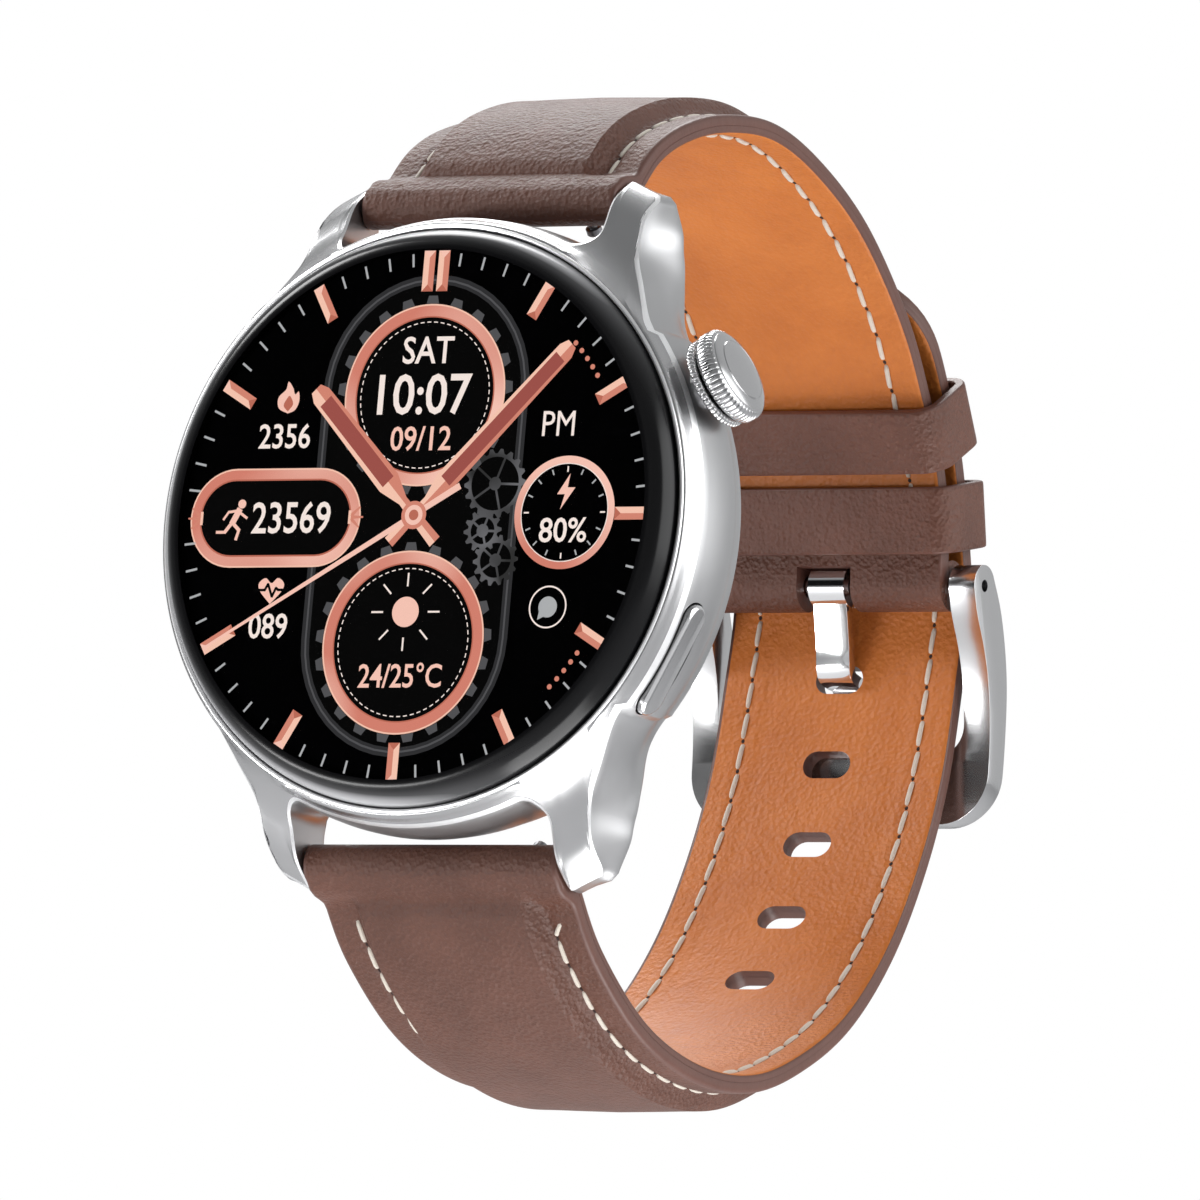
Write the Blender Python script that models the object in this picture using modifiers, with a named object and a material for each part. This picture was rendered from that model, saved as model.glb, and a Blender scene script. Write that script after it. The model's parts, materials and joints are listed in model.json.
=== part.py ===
"""Round smartwatch on a buckled leather strap.

Frame: +X is the crown side (3 o'clock), +Y the wrist side, +Z is 12 o'clock. The origin is the middle
of the flat sensor window that lies on the wrist. Lengths below are millimetres, and MM turns them
into metres. In the case, "height" is the distance from the wrist face towards the dial, along -Y.
"""

import math

import bmesh
import bpy
import numpy as np
from mathutils import Matrix, Vector

MM = 0.001

# Case
CASE_RADIUS = 23.0
CAVITY_RADIUS = 20.4
SEAT_RADIUS = 22.08
GLASS_TOP = 11.8
GLASS_UNDERSIDE = 11.3
SEAT_HEIGHT = 9.3
LEDGE_RADIUS = 17.6
LEDGE_TOP = 3.8
LEDGE_BOTTOM = 2.8
BACK_OPENING_RADIUS = 20.9
CASE_PROFILE = (
    (SEAT_RADIUS, 9.72), (22.75, 8.35), (22.95, 7.0), (CASE_RADIUS, 5.5), (22.9, 3.8), (22.55, 2.3),
    (22.0, 1.7), (BACK_OPENING_RADIUS, 1.7), (BACK_OPENING_RADIUS, LEDGE_BOTTOM),
    (LEDGE_RADIUS, LEDGE_BOTTOM), (LEDGE_RADIUS, LEDGE_TOP), (CAVITY_RADIUS, LEDGE_TOP),
    (CAVITY_RADIUS, SEAT_HEIGHT), (SEAT_RADIUS, SEAT_HEIGHT),
)

# Lugs: the front face falls with the distance from the middle of the case
LUG_FRONT = ((21.0, 8.6), (22.1, 8.9), (22.75, 8.3), (24.6, 6.6), (27.0, 5.2), (28.7, 2.7))
LUG_RIDGE = ((14.0, 17.6), (15.2, 16.8), (17.5, 15.6), (20.1, 14.3), (22.6, 13.9), (25.15, 13.8))
LUG_BACK_HEIGHT = 1.3
LUG_INNER_Z = (19.2, 20.0, 20.7, 21.3, 22.2, 23.2, 24.3, 25.3, 26.0, 26.5)
LUG_OUTER_Z = (14.0, 15.4, 17.0, 18.5, 20.0, 21.4, 22.7, 23.9, 24.6, 25.15)
LUG_ROOT_X = (9.0, 9.4, 10.0, 10.7, 11.0, 11.0, 11.0, 11.0, 11.0, 11.0)

# Back
SCREW_RADIUS = 19.3
CONTACT_PLACES = ((-3.0, -15.6), (3.0, -15.6))

# Spring bars
BAR_Z = 24.8
BAR_HEIGHT = 3.1
BAR_HALF_LENGTH = 11.8
LUG_HOLE_DEPTH_X = 12.0
TUBE_RADIUS = 0.9
PIN_RADIUS = 0.42
FOLD_RADIUS = 1.7
KNOB_X = 7.4
RELEASE_TRAVEL = 1.1
LUG_HOLE_RADIUS = 0.55

# Crown and button
CROWN_ANGLE = math.radians(26)
CROWN_HEIGHT = 6.0
CROWN_RADIUS = 3.6
CROWN_TEETH = 32
BUTTON_ANGLE = math.radians(-26.5)
BUTTON_HEIGHT = 6.9
BUTTON_LENGTH = 9.0
BUTTON_WIDTH = 2.3
BUTTON_FACE_RADIUS = 23.3

# Strap: the lining's inner face, as points (y, z) from the spring bar on
EDGE_THICKNESS = 1.45
LINING_THICKNESS = 0.6
GLUE_GAP = 0.05
PAD_HEIGHT = 1.5
PAD_COLUMNS = (-1, -0.84, -0.74, -0.64, 0, 0.64, 0.74, 0.84, 1)
UPPER_PATH = (
    (-2.17, 23.97), (-0.7, 25.8), (1.9, 28.8), (5.8, 31.1), (11.2, 32.9), (18.3, 33.8), (25.3, 32.6),
    (33.0, 29.5), (40.2, 24.2), (44.4, 19.4), (47.6, 14.6), (49.2, 10.4), (49.8, 6.2),
)
LOWER_PATH = (
    (-2.17, -23.97), (-0.7, -25.8), (3.4, -29.9), (10.9, -34.1), (19.5, -35.8), (27.8, -35.1),
    (35.2, -32.1), (41.2, -28.1), (46.4, -22.2), (50.2, -15.2), (52.5, -8.3), (53.56, -0.7),
    (53.95, 4.6), (53.3, 8.2), (50.7, 15.4), (47.6, 20.6), (44.3, 24.6), (39.6, 28.6),
)
LUG_END_HALF_WIDTH = 10.8
UPPER_END_HALF_WIDTH = 10.2
TAIL_HALF_WIDTH = 10.15
TIP_LENGTH = 9.0
BUCKLE_FOLD_LENGTH = 3.4
ENGAGED_HOLE = (53.5, -0.65)
HOLES_BEFORE = 4
HOLES_AFTER = 2
HOLE_PITCH = 6.8
HOLE_LENGTH = 4.1
HOLE_WIDTH = 2.2

# Buckle
BUCKLE_Y = 51.74
BUCKLE_Z = 6.2
BUCKLE_OUTER_X = 13.0
BUCKLE_INNER_X = 10.75
BUCKLE_BAR_RADIUS = 0.65
BUCKLE_HOLE_RADIUS = 0.82
BUCKLE_FOLD_RADIUS = 1.95
TONGUE_WIDTH = 2.9
TONGUE_BARREL_RADIUS = 1.6
TONGUE_THICKNESS = 0.9

# Keepers
KEEPER_THICKNESS = 0.8
KEEPER_WIDTH = 5.1
KEEPER_HALF_OPENING = 10.75
KEEPER_CLEARANCE = 0.3
KEEPER_INNER_CLEARANCE = 0.6
FIXED_KEEPER_Z = 10.9
FREE_KEEPER_Z = 16.7
KEEPER_ARC_CENTRE = (9.0, -9.0)
TAIL_LENGTH = 60.0

# Colours

STEEL = (0.78, 0.78, 0.79)
DARK_STEEL = (0.25, 0.25, 0.26)
BROWN = (0.16, 0.085, 0.068)
TAN = (0.55, 0.19, 0.05)
BLACK = (0.01, 0.01, 0.012)
GREEN = (0.02, 0.12, 0.05)


# ---------------------------------------------------------------- scene and materials

def clear_scene():
    for obj in list(bpy.data.objects):
        bpy.data.objects.remove(obj)


def make_collection(name):
    collection = bpy.data.collections.new(name)
    bpy.context.scene.collection.children.link(collection)
    return collection


def material(name, colour, roughness, metallic=0.0):
    found = bpy.data.materials.get(name)
    if found:
        return found
    made = bpy.data.materials.new(name)
    made.use_nodes = True
    shader = made.node_tree.nodes["Principled BSDF"]
    shader.inputs["Base Color"].default_value = (*colour, 1.0)
    shader.inputs["Roughness"].default_value = roughness
    shader.inputs["Metallic"].default_value = metallic
    made.diffuse_color = (*colour, 1.0)
    return made


def satin_steel():
    return material("satin_steel", STEEL, 0.3, 1.0)


def polished_steel():
    return material("polished_steel", STEEL, 0.08, 1.0)


def dark_steel():
    return material("dark_steel", DARK_STEEL, 0.3, 1.0)


def brown_leather():
    return material("brown_leather", BROWN, 0.55)


def tan_leather():
    return material("tan_leather", TAN, 0.6)


def clear_glass():
    return material("clear_glass", (0.9, 0.92, 0.93), 0.02)


def black_glass():
    return material("black_glass", BLACK, 0.03)


def black_plastic():
    return material("black_plastic", (0.03, 0.03, 0.03), 0.5)


def black_rubber():
    return material("black_rubber", (0.02, 0.02, 0.02), 0.8)


def circuit_board():
    return material("circuit_board", GREEN, 0.5)


def gold_contact():
    return material("gold_contact", (0.9, 0.6, 0.25), 0.2, 1.0)


# ---------------------------------------------------------------- building blocks

def add_object(name, mesh, look, as_helper=False):
    obj = bpy.data.objects.new(name, mesh)
    if as_helper:
        HELPERS.objects.link(obj)
        obj.hide_render = True
        obj.display_type = "WIRE"
    else:
        WATCH.objects.link(obj)
    if look:
        mesh.materials.append(look)
    return obj


def shade(obj, degrees=35):
    obj.data.shade_smooth()
    obj.data.set_sharp_from_angle(angle=math.radians(degrees))


def turned(name, profile, look=None, steps=64, as_helper=False):
    """A turned solid about local Z. The profile is (radius, height) points, down the outer side."""
    mesh = bpy.data.meshes.new(name)
    points = [(r * MM, 0, h * MM) for r, h in profile]
    edges = [(i, i + 1) for i in range(len(points) - 1)]
    if profile[0][0] > 0:
        edges.append((len(points) - 1, 0))
    mesh.from_pydata(points, edges, [])
    obj = add_object(name, mesh, look, as_helper)
    screw = obj.modifiers.new("turn", "SCREW")
    screw.steps = steps
    screw.render_steps = steps
    screw.use_merge_vertices = True
    screw.merge_threshold = 0.00001
    screw.use_smooth_shade = True
    return obj


def ring(name, inner, outer, bottom, top, look=None, steps=48, as_helper=False):
    profile = ((outer, top), (outer, bottom), (inner, bottom), (inner, top))
    return turned(name, profile, look, steps, as_helper)


def disc(name, radius, bottom, top, look=None, steps=48, as_helper=False):
    profile = ((0, top), (radius, top), (radius, bottom), (0, bottom))
    return turned(name, profile, look, steps, as_helper)


def block(name, size, middle, look=None, as_helper=False):
    mesh = bpy.data.meshes.new(name)
    shape = bmesh.new()
    bmesh.ops.create_cube(shape, size=1.0)
    bmesh.ops.scale(shape, vec=[s * MM for s in size], verts=shape.verts)
    bmesh.ops.translate(shape, vec=[m * MM for m in middle], verts=shape.verts)
    shape.to_mesh(mesh)
    shape.free()
    return add_object(name, mesh, look, as_helper)


def plate(name, outlines, half_depth, look=None, as_helper=False):
    """A flat plate in local XY: closed outlines, where an outline inside another is a hole."""
    curve = bpy.data.curves.new(name, "CURVE")
    curve.dimensions = "2D"
    curve.fill_mode = "BOTH"
    curve.extrude = half_depth * MM
    for outline in outlines:
        spline = curve.splines.new("POLY")
        spline.points.add(len(outline) - 1)
        for point, (x, y) in zip(spline.points, outline):
            point.co = (x * MM, y * MM, 0, 1)
        spline.use_cyclic_u = True
    source = bpy.data.objects.new(name + "_outline", curve)
    HELPERS.objects.link(source)
    graph = bpy.context.evaluated_depsgraph_get()
    mesh = bpy.data.meshes.new_from_object(source.evaluated_get(graph))
    bpy.data.objects.remove(source)
    shape = bmesh.new()
    shape.from_mesh(mesh)
    bmesh.ops.remove_doubles(shape, verts=shape.verts, dist=0.000001)
    bmesh.ops.recalc_face_normals(shape, faces=shape.faces)
    shape.to_mesh(mesh)
    shape.free()
    mesh.name = name
    return add_object(name, mesh, look, as_helper)


def loft(name, sections, look=None, as_helper=False):
    """A solid through closed sections, which all have the same number of points."""
    mesh = bpy.data.meshes.new(name)
    shape = bmesh.new()
    rows = [[shape.verts.new(Vector(point) * MM) for point in section] for section in sections]
    count = len(rows[0])
    for near, far in zip(rows, rows[1:]):
        for i in range(count):
            j = (i + 1) % count
            shape.faces.new((near[i], near[j], far[j], far[i]))
    shape.faces.new(rows[0])
    shape.faces.new(rows[-1])
    bmesh.ops.recalc_face_normals(shape, faces=shape.faces)
    shape.to_mesh(mesh)
    shape.free()
    return add_object(name, mesh, look, as_helper)


def cylinder_along_x(name, radius, x_from, x_to, y, z, look=None, as_helper=False, steps=24):
    obj = disc(name, radius, x_from, x_to, look, steps, as_helper)
    obj.rotation_euler = (0, math.pi / 2, 0)
    obj.location = (0, y * MM, z * MM)
    return obj


def combine(obj, other, operation):
    step = obj.modifiers.new(other.name, "BOOLEAN")
    step.object = other
    step.operation = operation
    return obj


def cut(obj, *cutters):
    for cutter in cutters:
        combine(obj, cutter, "DIFFERENCE")
    return obj


def join(obj, *others):
    for other in others:
        combine(obj, other, "UNION")
    return obj


def face_dial(*objects):
    """Turns local +Z towards the dial, with the origin on the wrist face."""
    for obj in objects:
        obj.rotation_euler = (math.pi / 2, 0, 0)


def point_outward(angle, height, *objects):
    """Turns local +Z radially outward at an angle above 3 o'clock, at a height in the case."""
    for obj in objects:
        obj.rotation_euler = (0, math.pi / 2 - angle, 0)
        obj.location = (0, -height * MM, 0)


def show_from_side(obj, y=0.0, z=0.0):
    """Turns a plate drawn in (y, z) so that its depth runs along X."""
    obj.rotation_euler = (math.pi / 2, 0, math.pi / 2)
    obj.location = (0, y * MM, z * MM)
    return obj


def arc(middle, radius, start, end, count=6):
    """Points on an arc, with angles in degrees."""
    angles = np.radians(np.linspace(start, end, count))
    return [(middle[0] + radius * math.cos(a), middle[1] + radius * math.sin(a)) for a in angles]


def pill_outline(length, width, count=9):
    radius = width / 2
    half = length / 2 - radius
    return arc((half, 0), radius, -90, 90, count) + arc((-half, 0), radius, 90, 270, count)


# ---------------------------------------------------------------- strap geometry

def smooth_path(points, spacing):
    """Evenly spaced points on a Catmull-Rom curve through the given ones, with unit tangents."""
    given = np.array(points, float)
    padded = np.vstack([2 * given[0] - given[1], given, 2 * given[-1] - given[-2]])
    dense = []
    for a, b, c, d in zip(padded, padded[1:], padded[2:], padded[3:]):
        for t in np.linspace(0, 1, 24, endpoint=False):
            dense.append(0.5 * (2 * b + (c - a) * t + (2 * a - 5 * b + 4 * c - d) * t ** 2
                                + (3 * b - a - 3 * c + d) * t ** 3))
    dense = np.array(dense + [given[-1]])
    run = np.concatenate([[0], np.cumsum(np.linalg.norm(np.diff(dense, axis=0), axis=1))])
    count = max(2, round(run[-1] / spacing) + 1)
    stations = np.linspace(0, run[-1], count)
    return Path(dense, run, stations)


class Path:
    """A strap's course in the YZ plane, measured along its inner face."""

    def __init__(self, dense, run, stations):
        self.dense = dense
        self.run = run
        self.stations = stations
        self.length = run[-1]

    def point(self, s):
        return np.array([np.interp(s, self.run, self.dense[:, k]) for k in (0, 1)])

    def tangent(self, s, reach=0.6):
        step = self.point(min(s + reach, self.length)) - self.point(max(s - reach, 0))
        return step / np.linalg.norm(step)

    def outward(self, s, side):
        """side is +1 for the upper half and -1 for the lower one."""
        ty, tz = self.tangent(s)
        return np.array([-tz, ty]) * side

    def nearest(self, y, z):
        return self.run[np.argmin(np.hypot(self.dense[:, 0] - y, self.dense[:, 1] - z))]


def ramp(value, start, end):
    """0 before start, 1 after end, smooth between; start may be the larger."""
    t = min(max((value - start) / (end - start), 0), 1)
    return t * t * (3 - 2 * t)


def band(name, path, side, stations, half_width, bottom, top, look, columns=(-1, 1)):
    """A strap layer. half_width(s), bottom(s) and top(s, share) are in mm."""
    sections = []
    for s in stations:
        centre = path.point(s)
        out = path.outward(s, side)
        width = half_width(s)
        section = []
        for share in columns:
            y, z = centre + out * top(s, share)
            section.append((share * width, y, z))
        for share in (1, -1):
            y, z = centre + out * bottom(s)
            section.append((share * width, y, z))
        sections.append(section)
    return loft(name, sections, look)




def padded_top(pad_start, pad_full, pad_fade, pad_end):
    """The outer leather's top: flat at the stitched edges, raised in the middle."""
    def top(s, share):
        along = ramp(s, pad_start, pad_full) * ramp(s, pad_end, pad_fade)
        across = ramp(abs(share), 0.84, 0.64) * (1 - 0.12 * share * share)
        return EDGE_THICKNESS + PAD_HEIGHT * along * across
    return top


def strap_hole(name, path, side, s):
    """A cutter for one oblong tongue hole."""
    cutter = plate(name, [pill_outline(HOLE_LENGTH, HOLE_WIDTH, 7)], 4, as_helper=True)
    across = Vector((1, 0, 0))
    ty, tz = path.tangent(s)
    along = Vector((0, ty, tz))
    matrix = Matrix((across, along, across.cross(along))).transposed().to_4x4()
    y, z = path.point(s) + path.outward(s, side) * EDGE_THICKNESS / 2
    matrix.translation = Vector((0, y, z)) * MM
    cutter.matrix_world = matrix
    return cutter


# ---------------------------------------------------------------- case

def lug_section(index):
    """One section of a lug, in (x, y, z): front face, hollow outer side, back."""
    z_in, z_out = LUG_INNER_Z[index], LUG_OUTER_Z[index]
    x_in = LUG_ROOT_X[index]
    ridge_z, ridge_x = zip(*LUG_RIDGE)
    x_ridge = np.interp(z_out, ridge_z, ridge_x)
    front_r, front_h = zip(*LUG_FRONT)

    def front(x, z):
        return np.interp(math.hypot(x, z), front_r, front_h)

    ridge_h = front(x_ridge, z_out)
    spread = 1.3 * ramp(z_out, 26.5, 23.0) * ramp(z_out, 14.0, 18.0)
    section = []
    for share in (0, 0.5, 1):
        x = x_in + (x_ridge - x_in) * share
        z = z_in + (z_out - z_in) * share
        section.append((x, -front(x, z), z))
    for share, flare in ((0.35, 0.12), (0.7, 0.5), (0.92, 1.0)):
        height = ridge_h + (LUG_BACK_HEIGHT - ridge_h) * share
        section.append((x_ridge + spread * flare, -height, z_out))
    section.append((x_ridge + spread * 0.6, -LUG_BACK_HEIGHT, z_out))
    section.append((x_in, -LUG_BACK_HEIGHT, z_in))
    return section


def make_lug(name, x_side, z_side):
    sections = []
    for index in range(len(LUG_INNER_Z)):
        sections.append([(x * x_side, y, z * z_side) for x, y, z in lug_section(index)])
    return loft(name, sections, as_helper=True)


def crown_cutters():
    tube_hole = disc("crown_tube_hole", 1.6, 19.5, 24, as_helper=True, steps=24)
    point_outward(CROWN_ANGLE, CROWN_HEIGHT, tube_hole)
    return tube_hole


def button_cutters():
    pocket = plate("button_pocket", [pill_outline(BUTTON_LENGTH + 0.5, BUTTON_WIDTH + 0.5)], 2,
                   as_helper=True)
    plunger_hole = disc("button_plunger_hole", 1.1, 19.5, 22, as_helper=True, steps=20)
    point_outward(BUTTON_ANGLE, BUTTON_HEIGHT, pocket, plunger_hole)
    pocket.location = Vector(pocket.location) + Vector(
        (math.cos(BUTTON_ANGLE), 0, math.sin(BUTTON_ANGLE))) * 23.4 * MM
    return pocket, plunger_hole


def screw_places():
    for number in range(4):
        angle = math.radians(45 + 90 * number)
        yield number + 1, SCREW_RADIUS * math.cos(angle), SCREW_RADIUS * math.sin(angle)


def on_back(obj, x, z):
    """Stands a turned piece on the wrist face's axis direction at (x, z)."""
    obj.rotation_euler = (math.pi / 2, 0, 0)
    obj.location = (x * MM, 0, z * MM)
    return obj


def make_mid_case():
    case = turned("mid_case", CASE_PROFILE, satin_steel(), steps=64)
    face_dial(case)
    for x_side, z_side, label in ((1, 1, "a"), (-1, 1, "b"), (1, -1, "c"), (-1, -1, "d")):
        join(case, make_lug("lug_" + label, x_side, z_side))
    cut(case, crown_cutters(), *button_cutters())
    for side in (1, -1):
        cut(case, cylinder_along_x(f"bar_hole_{side}", LUG_HOLE_RADIUS, -LUG_HOLE_DEPTH_X, LUG_HOLE_DEPTH_X,
                                   -BAR_HEIGHT, side * BAR_Z, as_helper=True, steps=20))
    for number, x, z in screw_places():
        hole = disc(f"ledge_hole_{number}", 0.6, 1, 5, as_helper=True, steps=16)
        cut(case, on_back(hole, x, z))


def make_front():
    bezel = turned("bezel_ring", ((21.7, 10.12), (21.92, 10.12), (22.02, 9.95), (22.02, 9.36),
                                  (21.62, 9.36), (21.62, 9.98)), polished_steel(), steps=56)
    dome = [(20.1, GLASS_TOP - 0.03), (20.7, GLASS_TOP - 0.26), (21.1, GLASS_TOP - 0.7),
            (21.35, GLASS_TOP - 1.2), (21.5, GLASS_TOP - 1.75)]
    glass_profile = [(0, GLASS_TOP), (19.3, GLASS_TOP)] + dome + [
        (21.5, 9.72), (20.42, 9.72), (20.42, GLASS_UNDERSIDE), (0, GLASS_UNDERSIDE)]
    glass = turned("cover_glass", glass_profile, clear_glass(), steps=56)
    gasket = ring("glass_gasket", 20.6, 21.4, 9.36, 9.64, black_rubber(), 40)
    display = disc("display_panel", 20.05, 10.1, 11.0, black_glass(), 48)
    face_dial(bezel, glass, gasket, display)


def make_electronics():
    chassis_profile = ((19.9, 9.7), (19.9, 4.1), (18.9, 4.1), (18.9, 8.95), (3.0, 8.95), (3.0, 9.7))
    chassis = turned("chassis", chassis_profile, black_plastic(), steps=40)
    stem_hole = disc("chassis_stem_hole", 1.2, 18, 21, as_helper=True, steps=16)
    point_outward(CROWN_ANGLE, CROWN_HEIGHT, stem_hole)
    plunger_hole = disc("chassis_plunger_hole", 1.0, 18, 21, as_helper=True, steps=16)
    point_outward(BUTTON_ANGLE, BUTTON_HEIGHT, plunger_hole)
    cut(chassis, stem_hole, plunger_hole)
    board = ring("main_board", 2.0, 18.4, 8.35, 8.75, circuit_board(), 40)
    face_dial(chassis, board)
    block("battery", (20, 3.4, 20), (-3.0, -6.0, 0), dark_steel())
    motor = disc("vibration_motor", 3.4, 4.2, 7.4, dark_steel(), 32)
    on_back(motor, 0, -14.4)
    block("speaker", (10, 3.0, 4.4), (0, -5.8, 14.2), black_plastic())
    crown_sensor = block("crown_sensor", (2.6, 2.6, 1.1), (0, 0, 17.2), black_plastic())
    point_outward(CROWN_ANGLE, CROWN_HEIGHT, crown_sensor)
    button_switch = block("button_switch", (3.0, 2.2, 1.1), (0, 0, 17.5), black_plastic())
    point_outward(BUTTON_ANGLE, BUTTON_HEIGHT, button_switch)


def make_back():
    cover_profile = (
        (20.7, 2.5), (20.7, 1.6), (20.2, 1.3), (13.6, 0.5), (13.3, 0.5), (13.3, 1.15), (11.3, 1.15),
        (11.3, 2.5), (17.7, 2.5), (17.7, 2.0), (18.5, 2.0), (18.5, 2.5),
    )
    cover = turned("back_cover", cover_profile, satin_steel(), steps=40)
    gasket = ring("back_gasket", 17.8, 18.4, 2.1, 2.7, black_rubber(), 40)
    window_profile = ((0, 1.05), (13.0, 1.05), (13.0, 0.4), (12.6, 0), (0, 0))
    window = turned("sensor_window", window_profile, black_glass(), steps=40)
    sensor_board = disc("sensor_board", 10.9, 1.45, 2.2, circuit_board(), 32)
    face_dial(cover, gasket, window, sensor_board)
    for number, (x, z) in enumerate(CONTACT_PLACES, 1):
        cut(cover, on_back(disc(f"contact_hole_{number}", 1.2, 0, 3, as_helper=True, steps=20), x, z))
        contact = disc(f"charging_contact_{number}", 0.9, 0.62, 2.4, gold_contact(), 16)
        on_back(contact, x, z)
    for number, x, z in screw_places():
        hole_profile = ((0, 3), (0.62, 3), (0.62, 1.85), (1.1, 1.85), (1.1, 0), (0, 0))
        hole = turned(f"screw_hole_{number}", hole_profile, steps=16, as_helper=True)
        cut(cover, on_back(hole, x, z))
        screw_profile = ((0, 3.6), (0.42, 3.6), (0.42, 1.75), (0.85, 1.75), (0.85, 1.25), (0, 1.25))
        screw = turned(f"back_screw_{number}", screw_profile, dark_steel(), steps=16)
        on_back(screw, x, z)
        slot = block(f"screw_slot_{number}", (2, 0.6, 0.3), (0, 0, 0), as_helper=True)
        slot.location = Vector((x, -1.25, z)) * MM
        cut(screw, slot)


# ---------------------------------------------------------------- crown and button

def toothed_rim(name, radius, depth, teeth, bottom, top, bore, look):
    """A knurled cylinder along local Z, with chamfered rims and a blind or open bore."""
    sections = []
    for height, inset in ((bottom, 0.25), (bottom + 0.25, 0), (top - 0.25, 0), (top, 0.25)):
        section = []
        for index in range(teeth * 2):
            angle = math.pi * index / teeth
            r = radius - inset - (depth if index % 2 else 0)
            section.append((r * math.cos(angle), r * math.sin(angle), height))
        sections.append(section)
    obj = loft(name, sections, look)
    return cut(obj, bore)


def make_crown():
    tube = ring("crown_tube", 1.2, 1.55, 20.5, 23.15, polished_steel(), 24)
    seal = ring("crown_gasket", 0.86, 1.14, 21.4, 22.3, black_rubber(), 20)
    stem = disc("crown_stem", 0.8, 18.3, 25.5, polished_steel(), 20)
    collar_bore = disc("collar_bore", 0.95, 23, 25, as_helper=True, steps=20)
    knob_bore = disc("knob_bore", 0.95, 24, 25.65, as_helper=True, steps=20)
    cap_bore = disc("cap_bore", 0.7, 25.9, 27, as_helper=True, steps=20)
    collar = toothed_rim("crown_collar", 3.45, 0.14, CROWN_TEETH, 23.6, 24.25, collar_bore,
                         polished_steel())
    knob = toothed_rim("crown_knob", CROWN_RADIUS, 0.16, CROWN_TEETH, 24.45, 26.3, knob_bore,
                       polished_steel())
    cut(knob, cap_bore)
    cap_profile = ((0, 26.85), (1.2, 26.82), (2.3, 26.68), (3.1, 26.4), (0.5, 26.4), (0.5, 26.1),
                   (0, 26.1))
    cap = turned("crown_cap", cap_profile, polished_steel(), steps=32)
    point_outward(CROWN_ANGLE, CROWN_HEIGHT, tube, seal, stem, collar_bore, knob_bore, cap_bore,
                  collar, knob, cap)


def make_button():
    cap = plate("button_cap", [pill_outline(BUTTON_LENGTH, BUTTON_WIDTH)], 0.95, satin_steel())
    point_outward(BUTTON_ANGLE, BUTTON_HEIGHT, cap)
    outward = Vector((math.cos(BUTTON_ANGLE), 0, math.sin(BUTTON_ANGLE)))
    cap.location = Vector(cap.location) + outward * 22.85 * MM
    plunger = disc("button_plunger", 0.6, 18.6, 22.4, as_helper=True, steps=16)
    point_outward(BUTTON_ANGLE, BUTTON_HEIGHT, plunger)
    join(cap, plunger)
    face = disc("button_face", BUTTON_FACE_RADIUS, 0, 12, as_helper=True, steps=160)
    face_dial(face)
    combine(cap, face, "INTERSECT")
    seal = ring("button_gasket", 0.66, 1.04, 20.55, 21.05, black_rubber(), 16)
    point_outward(BUTTON_ANGLE, BUTTON_HEIGHT, seal)


# ---------------------------------------------------------------- strap

def upper_width(path):
    return lambda s: np.interp(s, (0, path.length), (LUG_END_HALF_WIDTH, UPPER_END_HALF_WIDTH))


def lower_width(path):
    def width(s):
        taper = np.interp(s, (0, path.length - 30), (LUG_END_HALF_WIDTH, TAIL_HALF_WIDTH))
        left = max(path.length - s, 0)
        if left >= TIP_LENGTH:
            return taper
        return taper * max(math.sqrt(1 - (1 - left / TIP_LENGTH) ** 2.4), 0.2)
    return width


def knob_turn(side):
    """The turn about X that points local +Z from a spring bar towards the case back."""
    return math.radians(-45 if side < 0 else -135)


def fold_knob_slot(name, side):
    """The window in the folded end that lets the quick-release knob out."""
    slot = block(name, (3.5, 1.7, 4.0), (KNOB_X - 0.75, 0, 2.0), as_helper=True)
    slot.rotation_euler = (knob_turn(side), 0, 0)
    slot.location = (0, -BAR_HEIGHT * MM, side * BAR_Z * MM)
    return slot


def lug_fold(name, side):
    return cylinder_along_x(name, FOLD_RADIUS, -LUG_END_HALF_WIDTH, LUG_END_HALF_WIDTH,
                            -BAR_HEIGHT, side * BAR_Z, as_helper=True, steps=28)


def lug_fold_hole(name, side):
    return cylinder_along_x(name, TUBE_RADIUS + 0.15, -14, 14, -BAR_HEIGHT, side * BAR_Z,
                            as_helper=True, steps=20)


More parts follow.
